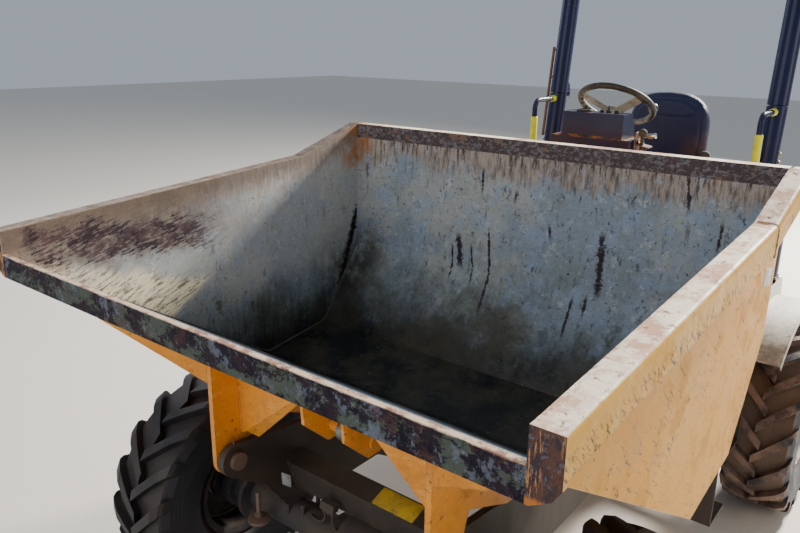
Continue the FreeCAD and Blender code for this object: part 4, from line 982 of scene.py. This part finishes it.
def frame_bolts(shape, sign):
    """Bolts on the frame and the counterweight."""
    out = Vector((sign, 0, 0))
    for d, z in ((2760, 540), (2590, 540), (2760, 660), (2590, 660), (3640, 540), (3640, 660), (3060, 670)):
        hex_head(shape, spot(sign * 364, d, z), out, 0.012, 0.01, d)


def axle_bolts(axle_y):
    """The ring of bolts round a final drive's cover, and the saddles' clamp bolts."""
    def filled(shape):
        for number in range(DRIVE_BOLTS):
            angle = 2 * math.pi * number / DRIVE_BOLTS
            round_hub = Vector((DRIVE_FACE, DRIVE_RING * math.cos(angle), DRIVE_RING * math.sin(angle)))
            hex_head(shape, round_hub + Vector((0, axle_y, AXLE_Z)), (1, 0, 0), 0.008, 0.007, angle)
        for sign in (1, -1):
            for along in (-0.038, 0.038):
                foot = Vector((sign * SADDLE, axle_y + along, AXLE_Z + 0.03))
                lathe(shape, [(0.008, 0), (0.008, 0.052), (0.006, 0.054)], foot, (0, 0, 1), 12)
    return filled


def hanging_bolt(shape):
    """The rusty upright bolt on a disc in front of the axle's right end."""
    foot = spot(-470, 575, 430)
    disc = [(0.034, 0), (0.04, 0.004), (0.04, 0.014), (0.03, 0.018), (0.014, 0.02)]
    shank = [(0.0085, 0.018), (0.0085, 0.118), (0.007, 0.12)]
    nut = [(0.0145, 0.02), (0.0155, 0.022), (0.0155, 0.034), (0.013, 0.036)]
    for profile, steps in ((disc, 28), (shank, 16), (nut, 6)):
        lathe(shape, profile, foot, (0, 0, 1), steps)


def axle_pipes(shape):
    """Rigid brake pipes from a junction block on the cross tube down to the axle."""
    block = run((-215, 660, 600), (-150, 660, 600), (-150, 655, 570), (-215, 655, 570))
    slab(shape, block, Vector((0, -0.026, 0)), 0.004, 0.002)
    for x in (-200, -182, -164):
        fitting = [(0.008, 0), (0.009, 0.002), (0.009, 0.014), (0.006, 0.018)]
        lathe(shape, fitting, spot(x, 642, 570), (0, 0, -1), 6)
    left = run((-164, 642, 560), (-164, 642, 520), (-120, 645, 490), (40, 650, 486), (150, 660, 480),
               (210, 680, 474))
    right = run((-200, 642, 560), (-202, 642, 528), (-230, 648, 500), (-280, 662, 488), (-300, 680, 478))
    for line in (left, right):
        sweep(shape, curve_through(line), 0.004, 10)


def ram_pipes(shape):
    """The steel pipe along the tipping ram's barrel, with its two elbows."""
    base, top = spot(0, *RAM_FOOT), spot(0, *RAM_HEAD)
    way = (top - base).normalized()
    up = Vector((1, 0, 0)).cross(way).normalized()
    if up.z < 0:
        up = -up
    side = up * 0.066
    points = [base + way * 0.085 + up * 0.045, base + way * 0.09 + side, base + way * 0.14 + side,
              base + way * 0.5 + side, base + way * 0.545 + side, base + way * 0.552 + up * 0.045]
    sweep(shape, curve_through(points), 0.006, 10)
    for along in (0.085, 0.552):
        lathe(shape, [(0.014, 0), (0.014, 0.014), (0.01, 0.018)], base + way * along + up * 0.044, up, 6)
    for along in (0.22, 0.42):
        ring = [(0.052, 0), (0.0535, 0.001), (0.0535, 0.013), (0.052, 0.014)]
        lathe(shape, ring, base + way * along, way, 32)


def lozenges(shape, place, across, along, rows, columns, size):
    """Raised anti-slip lozenges on a flat sheet, set crosswise in turn."""
    right, ahead = across.normalized(), along.normalized()
    for row in range(rows):
        for column in range(columns):
            centre = place + across * ((column + 0.5) / columns) + along * ((row + 0.5) / rows)
            turn = 1 if (row + column) % 2 else -1
            long = (right + ahead * turn) * (size * 0.7)
            wide = (right - ahead * turn) * (size * 0.2)
            outline = (long, long * 0.4 + wide, wide, -long * 0.4 + wide,
                       -long, -long * 0.4 - wide, -wide, long * 0.4 - wide)
            rings = []
            for rise, share in ((0, 1), (0.0012, 0.85), (0.0018, 0.45)):
                rings.append([shape.verts.new(centre + v * share + Vector((0, 0, rise))) for v in outline])
            bridge(shape, rings)


def deck_tread(shape):
    across, along = DECK_SIZE
    lozenges(shape, spot(*DECK_CORNER), Vector((across, 0, 0)), Vector((0, along, 0)), rows=14, columns=29,
             size=0.022)


def step_treads(shape, sign):
    for d0, d1, z in ((1940, 2112, 208), (1945, 2190, 488), (1945, 2190, 768)):
        corner = spot(sign * 622, d0, z)
        across, along = Vector((sign * 0.112, 0, 0)), Vector((0, (d1 - d0) / 1000, 0))
        lozenges(shape, corner, across, along, rows=7, columns=4, size=0.017)


def pedals(shape):
    """Brake and drive pedals with ribbed pads."""
    for x, lean in ((-95, 0), (95, 0.25)):
        base = spot(x, 2310, 1046)
        head = spot(x, 2250 + lean * 80, 1150 - lean * 60)
        sweep(shape, curve_through([base, base.lerp(head, 0.5) + Vector((0, -0.02, 0.01)), head]), 0.008, 10)
        up = Vector((0, -0.45, 0.9)).normalized()
        out = Vector((0, 0.9, 0.45))
        corners = [head + Vector((side * 0.036, 0, 0)) + up * end * 0.05
                   for side, end in ((-1, -1), (1, -1), (1, 1), (-1, 1))]
        slab(shape, corners, out * 0.012, 0.01, 0.002)
        for number in range(5):
            middle = head + up * (number - 2) * 0.018 + out * 0.011
            sweep(shape, [middle - Vector((0.028, 0, 0)), middle + Vector((0.028, 0, 0))], 0.0028, 6)


def dash(shape):
    """A gauge's bezel, a key switch and two capped holes on the console's top."""
    for x, d, radius in ((-60, 2142, 0.032), (50, 2142, 0.012), (84, 2142, 0.009), (20, 2142, 0.009)):
        bezel = [(radius, 0), (radius * 1.08, 0.003), (radius, 0.009), (radius * 0.86, 0.01),
                 (radius * 0.82, 0.006)]
        lathe(shape, bezel, spot(x, d, 1822), (0, 0, 1), 28)
    key = run((46, 2139, 1830), (54, 2139, 1830), (54, 2145, 1830), (46, 2145, 1830))
    slab(shape, key, Vector((0, 0, 0.022)), 0.002)


def slope_line(behind):
    """A height just under the skip's sloping front, in millimetres."""
    return SLOPE_START - SLOPE_FALL * behind - 3


def corner_welds(shape, sign):
    """Weld runs inside the skip's corners."""
    corner = ((20, 1464), (500, 1158), (960, 865), (1010, 841), (1335, 882), (1360, 904), (1540, 1162),
              (1572, 1215), (1583, 1690))
    bead(shape, [spot(sign * 876.5, d, z) for d, z in corner], 0.0055)


def rail_welds(shape, sign):
    """Weld runs over the top rail's kink."""
    kink = ((887, 1248, 1550), (940.5, 1248, 1552), (941, 1248, 1630), (932, 1247, 1643), (885, 1247, 1644.5))
    bead(shape, [spot(sign * x, d, z) for x, d, z in kink], 0.0032)


def leg_welds(shape, sign):
    """Weld runs where the leg plates and ram lugs meet the skip's floor, and along the gussets."""
    for x, front, back, radius in ((417, 380, 950, 0.0045), (439, 380, 950, 0.0045),
                                   (74, 432, 742, 0.004), (88, 432, 742, 0.004)):
        bead(shape, [spot(sign * x, d, slope_line(d)) for d in (front, back)], radius)
    bead(shape, run((sign * 416, 475.5, 858), (sign * 416, 475.5, 1158)), 0.0042)
    bead(shape, run((sign * 470, 378, 1200), (sign * 862, 108, 1389)), 0.0042)


def tube_welds(shape, sign):
    """The weld round the cross tube's end."""
    deep, high = TUBE_HALF
    ring = []
    for forward, up in ((deep, -high), (-deep, -high), (-deep, high), (deep, high), (deep, -high)):
        ring.append(spot(sign * TUBE_END, *on_tube(forward, up)))
    bead(shape, ring, 0.005)


def tube_top(x, forward, proud=0):
    """A point on the cross tube's upper face, from its middle line."""
    return spot(x, *on_tube(forward, TUBE_HALF[1] + proud))


def tube_plate(shape):
    """A blank yellow plate on the cross tube's upper face."""
    out = tube_top(0, 0, 1.5) - tube_top(0, 0, 0)
    start, end = PLATE_REACH
    rear, front = PLATE_DEPTH
    corners = ((start, front), (end, front), (end, rear), (start, rear))
    slab(shape, [tube_top(x, forward, 0.2) for x, forward in corners], out, 0.005)


def frame_label(shape):
    """A small blank label on the right front plate's inner face."""
    corners = [spot(-387.6, d, z) for d, z in ((618, 645), (660, 612), (662, 560), (620, 596))]
    slab(shape, corners, Vector((0.0008, 0, 0)), 0.005, 0.0005)


def side_label(shape):
    """A small blank label near the left side's rear edge."""
    corners = [spot(886.2, d, z) for d, z in ((1450, 1462), (1532, 1446), (1530, 1388), (1448, 1404))]
    slab(shape, corners, Vector((0.0008, 0, 0)), 0.006, 0.0005)


def retaining_disc(shape, sign):
    """The tipping pins' outer discs with their lock bolts."""
    centre = spot(sign * 462, *TIPPING_PIN)
    out = Vector((sign, 0, 0))
    lathe(shape, [(0.036, 0), (0.036, 0.004), (0.033, 0.007), (0.02, 0.008)], centre, out, 32)
    hex_head(shape, centre + out * 0.007, out, 0.012, 0.01)


def grease_points(shape, sign):
    """A grease nipple over each tipping pin."""
    foot = spot(sign * 400, TIPPING_PIN[0], TIPPING_PIN[1] + 59)
    nipple = [(0.005, 0), (0.005, 0.006), (0.0032, 0.007), (0.0032, 0.012), (0.0042, 0.014), (0.0025, 0.017)]
    lathe(shape, nipple, foot, (0, 0, 1), 10)


def cushion(height, depth, corner, place, up, out):
    """A pillow-like form: a rounded outline swept through its depth, crowned front and back."""
    def filled(shape):
        outline = []
        for number in range(96):
            angle = 2 * math.pi * number / 96
            x, y = math.cos(angle), math.sin(angle)
            power = 5 if y < 0 else corner
            stretch = (abs(x) ** power + abs(y) ** power) ** (-1 / power)
            outline.append((x * stretch * SEAT_WIDTH / 2, y * stretch * height / 2))
        centre, right = spot(0, *place), Vector((1, 0, 0))
        rings = []
        for share, level in CUSHION_PROFILE:
            rings.append([shape.verts.new(centre + right * x * share + up * y * share + out * depth * level)
                          for x, y in outline])
        bridge(shape, rings)
    return filled


def apply_modifiers(piece):
    graph = bpy.context.evaluated_depsgraph_get()
    mesh = bpy.data.meshes.new_from_object(piece.evaluated_get(graph))
    piece.modifiers.clear()
    piece.data = mesh


def puff(piece):
    """Swells a piece as stuffed cloth, no point moving further than the limit."""
    remesh = piece.modifiers.new("remesh", "REMESH")
    remesh.mode = "VOXEL"
    remesh.voxel_size = PUFF_VOXEL
    apply_modifiers(piece)
    before = [v.co.copy() for v in piece.data.vertices]
    cloth = piece.modifiers.new("cloth", "CLOTH")
    cloth.settings.use_pressure = True
    cloth.settings.uniform_pressure_force = PUFF_PRESSURE
    cloth.settings.effector_weights.gravity = 0
    cloth.point_cache.frame_start = 1
    cloth.point_cache.frame_end = PUFF_FRAMES
    for number in range(1, PUFF_FRAMES + 1):
        bpy.context.scene.frame_set(number)
    apply_modifiers(piece)
    bpy.context.scene.frame_set(1)
    for vertex, start in zip(piece.data.vertices, before):
        move = vertex.co - start
        if move.length > PUFF_LIMIT:
            vertex.co = start + move * (PUFF_LIMIT / move.length)
    subdivide = piece.modifiers.new("subdivide", "SUBSURF")
    subdivide.levels = subdivide.render_levels = 1
    apply_modifiers(piece)


def press_line(piece, distance_from_line, push):
    """Presses a sewn line into a piece where distance_from_line is near zero."""
    for vertex in piece.data.vertices:
        away = distance_from_line(vertex.co)
        if away < SEAM_WIDTH * 3:
            vertex.co += push * (SEAM_DEPTH * math.exp(-(away / SEAM_WIDTH) ** 2))


def oval_line(x, z, middle, half_width, half_height):
    """How far a point is from a rounded panel's outline, in metres."""
    u, v = (x - middle[0]) / half_width, (z - middle[1]) / half_height
    radius = (abs(u) ** 3 + abs(v) ** 3) ** (1 / 3)
    return abs(radius - 1) * min(half_width, half_height)


def make_seat(skin):
    """The seat's padded back and cushion, with their sewn lines."""
    ahead, up = Vector((0, -1, 0)), Vector((0, 0, 1))
    back = add_piece("seat_back", cushion(0.43, 0.074, 2.7, SEAT_BACK, up, ahead), skin,
                     "rear_chassis", "seat_skin", 60)
    base = add_piece("seat_cushion", cushion(0.34, 0.084, 3.6, SEAT_BASE, -ahead, up), skin,
                     "rear_chassis", "seat_skin", 60)
    for piece in (back, base):
        puff(piece)
        for polygon in piece.data.polygons:
            polygon.use_smooth = True

    def back_lines(p):
        if p.y > 3.05 - BEHIND:
            return math.inf
        return min(oval_line(p.x, p.z, (0.035, 1.79), 0.125, 0.045),
                   oval_line(p.x, p.z, (0, 1.66), 0.175, 0.17))

    def base_lines(p):
        if p.z < 1.45:
            return math.inf
        return oval_line(p.x, p.y, (0, SEAT_BASE[0] / 1000 - BEHIND), 0.17, 0.12)

    press_line(back, back_lines, -ahead)
    press_line(base, base_lines, -up)
    for piece in (back, base):
        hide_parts("seat")


def dress(material, *names):
    for name in names:
        node = NODES[name]
        if not node.material_slots:
            node.data.materials.append(None)
        for slot in node.material_slots:
            slot.link = "OBJECT"
            slot.material = material


def make_camera():
    turn, pitch, roll = (math.radians(v) for v in (CAMERA_TURN, CAMERA_PITCH, CAMERA_ROLL))
    ahead = Vector((-math.sin(turn) * math.cos(pitch), math.cos(turn) * math.cos(pitch), -math.sin(pitch)))
    right = Vector((math.cos(turn), math.sin(turn), 0))
    up = right.cross(ahead)
    level = right * math.cos(roll) + up * math.sin(roll)
    top = up * math.cos(roll) - right * math.sin(roll)
    data = bpy.data.cameras.new("camera")
    data.lens = CAMERA_LENS
    data.sensor_width = 36
    data.clip_start = 0.05
    camera = bpy.data.objects.new("camera", data)
    axes = Matrix((level, top, -ahead)).transposed().to_4x4()
    camera.matrix_world = Matrix.Translation(CAMERA_PLACE) @ axes
    bpy.context.collection.objects.link(camera)
    bpy.context.scene.camera = camera


def area_light(name, place, target, size, watts, colour):
    data = bpy.data.lights.new(name, "AREA")
    data.size = size
    data.energy = watts
    data.color = colour
    light = bpy.data.objects.new(name, data)
    light.location = place
    light.rotation_mode = "QUATERNION"
    light.rotation_quaternion = (Vector(target) - Vector(place)).to_track_quat("-Z", "Y")
    bpy.context.collection.objects.link(light)


# name, place, target, size, watts, colour
LIGHTS = (
    ("key", (1.8, 8, 6.2), (0, -0.9, 1.3), 1.6, 3700, (1, 0.95, 0.87)),
    ("left", (7, 0.5, 3.2), (0.9, -0.6, 1.1), 3, 110, (1, 0.85, 0.6)),
    ("front", (-1, -7.5, 3.6), (0, 0, 0.9), 5, 170, (1, 0.95, 0.88)),
    ("right", (-6.5, 1, 4.5), (0, 0, 1), 4, 90, (0.95, 0.97, 1)),
)
WORLD_COLOUR = (0.78, 0.88, 1, 1)
WORLD_STRENGTH = 0.46
FLOOR_SIZE = 60


def make_studio():
    world = bpy.data.worlds.new("studio")
    world.use_nodes = True
    background = world.node_tree.nodes["Background"]
    background.inputs[0].default_value = WORLD_COLOUR
    background.inputs[1].default_value = WORLD_STRENGTH
    bpy.context.scene.world = world
    for light in LIGHTS:
        area_light(*light)
    bpy.ops.mesh.primitive_plane_add(size=FLOOR_SIZE, location=(0, 0, FLOOR_TOP))
    floor = bpy.context.object
    floor.name = "floor"
    g = Graph("floor_pale")
    colour = g.mix(g.noise(40, 5, 0.6), (0.66, 0.62, 0.57), (0.74, 0.7, 0.65))
    floor.data.materials.append(g.finish(colour, 0.9))


make_camera()
make_studio()

yellow = worn_paint("yellow_worn", (0.44, 0.18, 0.01), (0.36, 0.14, 0.01))
orange = make_orange()
black = worn_paint("black_frame", (0.026, 0.022, 0.022), (0.05, 0.036, 0.028), rust=(0.1, 0.05, 0.03),
                   dirt=0.7, soil_colour=(0.07, 0.055, 0.043))
iron = worn_paint("cast_iron", (0.03, 0.03, 0.038), (0.05, 0.042, 0.04), dirt=0.8, rough=0.7)
steel = worn_paint("bare_steel", (0.35, 0.34, 0.33), (0.2, 0.19, 0.18), dirt=0.3)
rusty = worn_paint("rusty_steel", (0.17, 0.075, 0.038), (0.1, 0.045, 0.028), rust=(0.26, 0.1, 0.035),
                   dirt=0.3)
pin_rust = worn_paint("pin_rust", (0.2, 0.13, 0.1), (0.13, 0.085, 0.065), rust=(0.24, 0.12, 0.06), dirt=0.3)
pale_orange = worn_paint("disc_orange", (0.72, 0.42, 0.12), (0.6, 0.34, 0.09), dirt=0.3, wear=0.9)
rubber_pad = worn_paint("rubber_pad", (0.02, 0.019, 0.02), (0.035, 0.03, 0.027), rust=(0.05, 0.035, 0.028),
                        metal=(0.03, 0.03, 0.03), dirt=0.5, rough=0.8)
navy = make_navy("navy_glossy", 0.6)
navy_rusty = make_navy("navy_rusty", 1.3, dust=0.7)
navy_console = make_navy("navy_console", 1, dust=0.4, ledge=CONSOLE_LEDGE)
scale = worn_paint("weld_scale", (0.06, 0.058, 0.06), (0.032, 0.03, 0.03), rust=(0.34, 0.15, 0.045), dirt=0.5)
dulled = make_bright("rod_dulled", (0.3, 0.3, 0.31), 0.25, 0.3)
white = make_fender()
chrome = make_bright("chrome_dulled", (0.62, 0.62, 0.63), 0.05)
plated = make_bright("plated_bolts", (0.34, 0.3, 0.25), 0.5, 0.4)
skin = make_skin()
# The skip sides' materials hold painted sunlight: a patch inside and a strip outside.
side_left = make_skip_side("skip_side_left_worn_painted_sun", 1)
side_right = make_skip_side("skip_side_right_worn_painted_sun", -1)

for name in NODES:
    dress(black, name)
dress(yellow, "bonnet")
dress(side_left, "skip_side_left")
dress(side_right, "skip_side_right")
# The floor and back wall's material holds a painted sunlit band at the front of the slope.
dress(make_skip_sheet("skip_sheet_worn_painted_sun"), "skip_floor", "skip_back")
dress(make_lip(), "skip_lip")
dress(orange, "skip_legs", "skip_ram_bracket")
dress(iron, "front_axle", "rear_axle", "engine", "tow_jaw", "counterweight")
dress(navy, "body_shell", "rops_base", "rops_hoop", "grab_handles", "seat_mount", "tanks")
dress(navy_rusty, "deck")
dress(navy_console, "console")
dress(white, "fenders")
dress(steel, "steer_pin")
dress(dulled, "tip_ram_rod", "steer_ram_rod")
dress(pin_rust, "tipping_pins")
dress(rusty, "hoop_rod", "silencer", "tail_pipe")
dress(rubber_pad, "skip_buffers", "control_levers")
dress(make_steering(), "steering_wheel")

WHEELS = (("front", "left", 1, FRONT_AXLE), ("front", "right", -1, FRONT_AXLE),
          ("rear", "left", 1, REAR_AXLE), ("rear", "right", -1, REAR_AXLE))
for end, word, side, axle_y in WHEELS:
    dust = 0.95 if end == "rear" else 0.12
    # The rear sidewalls' blue-grey is dusty dark rubber tinted blue as painted sky-lit shade.
    wall = (0.04, 0.052, 0.078) if end == "rear" else (0.006, 0.008, 0.015)
    dress(make_tyre("tyre_%s_%s_dusty" % (end, word), side, axle_y, dust, wall), "tyre_%s_%s" % (end, word))
    dress(make_rim("rim_%s_%s" % (end, word), side), "wheel_%s_%s" % (end, word))
    add_piece("wheel_nuts_%s_%s" % (end, word), wheel_nuts(side, axle_y), plated,
              "%s_%s_wheel" % (end, word), "bare_steel")

sleeve = make_sleeve()
yellow_label = make_label("plate_yellow", (0.62, 0.42, 0.02), (0.5, 0.33, 0.03), 0.3)
white_label = make_label("label_white", (0.62, 0.66, 0.7), (0.5, 0.53, 0.56), 0.15)

# name, mesh code, material, body, slot
PIECES = (
    ("handle_sleeves", both(sleeves), sleeve, "rear_chassis", "handle_sleeve"),
    ("side_lever", side_lever, chrome, "rear_chassis", "rod_chrome"),
    ("lever_bracket", lever_bracket, rusty, "rear_chassis", "bare_steel"),
    ("seat_knob", seat_knob, rubber_pad, "rear_chassis", "buffer_rubber"),
    ("post_bolts", both(post_bolts), plated, "rear_chassis", "bare_steel"),
    ("frame_bolts", both(frame_bolts), plated, "rear_chassis", "bare_steel"),
    ("front_axle_bolts", axle_bolts(FRONT_AXLE), iron, "front_chassis", "cast"),
    ("rear_axle_bolts", axle_bolts(REAR_AXLE), iron, "rear_chassis", "cast"),
    ("hanging_bolt", hanging_bolt, pin_rust, "front_chassis", "bare_steel"),
    ("axle_pipes", axle_pipes, iron, "front_chassis", "cast"),
    ("ram_pipes", ram_pipes, black, "tip_barrel", "frame_paint"),
    ("deck_tread", deck_tread, navy_rusty, "rear_chassis", "dark_paint"),
    ("step_treads", both(step_treads), black, "rear_chassis", "dark_paint"),
    ("pedals", pedals, rubber_pad, "rear_chassis", "buffer_rubber"),
    ("dash_fittings", dash, rubber_pad, "rear_chassis", "buffer_rubber"),
    ("corner_welds", both(corner_welds), scale, "skip", "skip_paint"),
    ("rail_welds", both(rail_welds), side_left, "skip", "skip_paint"),
    ("leg_welds", both(leg_welds), orange, "skip", "leg_paint"),
    ("tube_welds", both(tube_welds), black, "front_chassis", "frame_paint"),
    ("tube_plate", tube_plate, yellow_label, "front_chassis", "leg_paint"),
    ("frame_label", frame_label, white_label, "front_chassis", "fender_paint"),
    ("side_label", side_label, white_label, "skip", "fender_paint"),
    ("pin_discs", both(retaining_disc), pale_orange, "front_chassis", "leg_paint"),
    ("grease_points", both(grease_points), plated, "front_chassis", "bare_steel"),
)
for piece in PIECES:
    add_piece(*piece)
make_seat(skin)
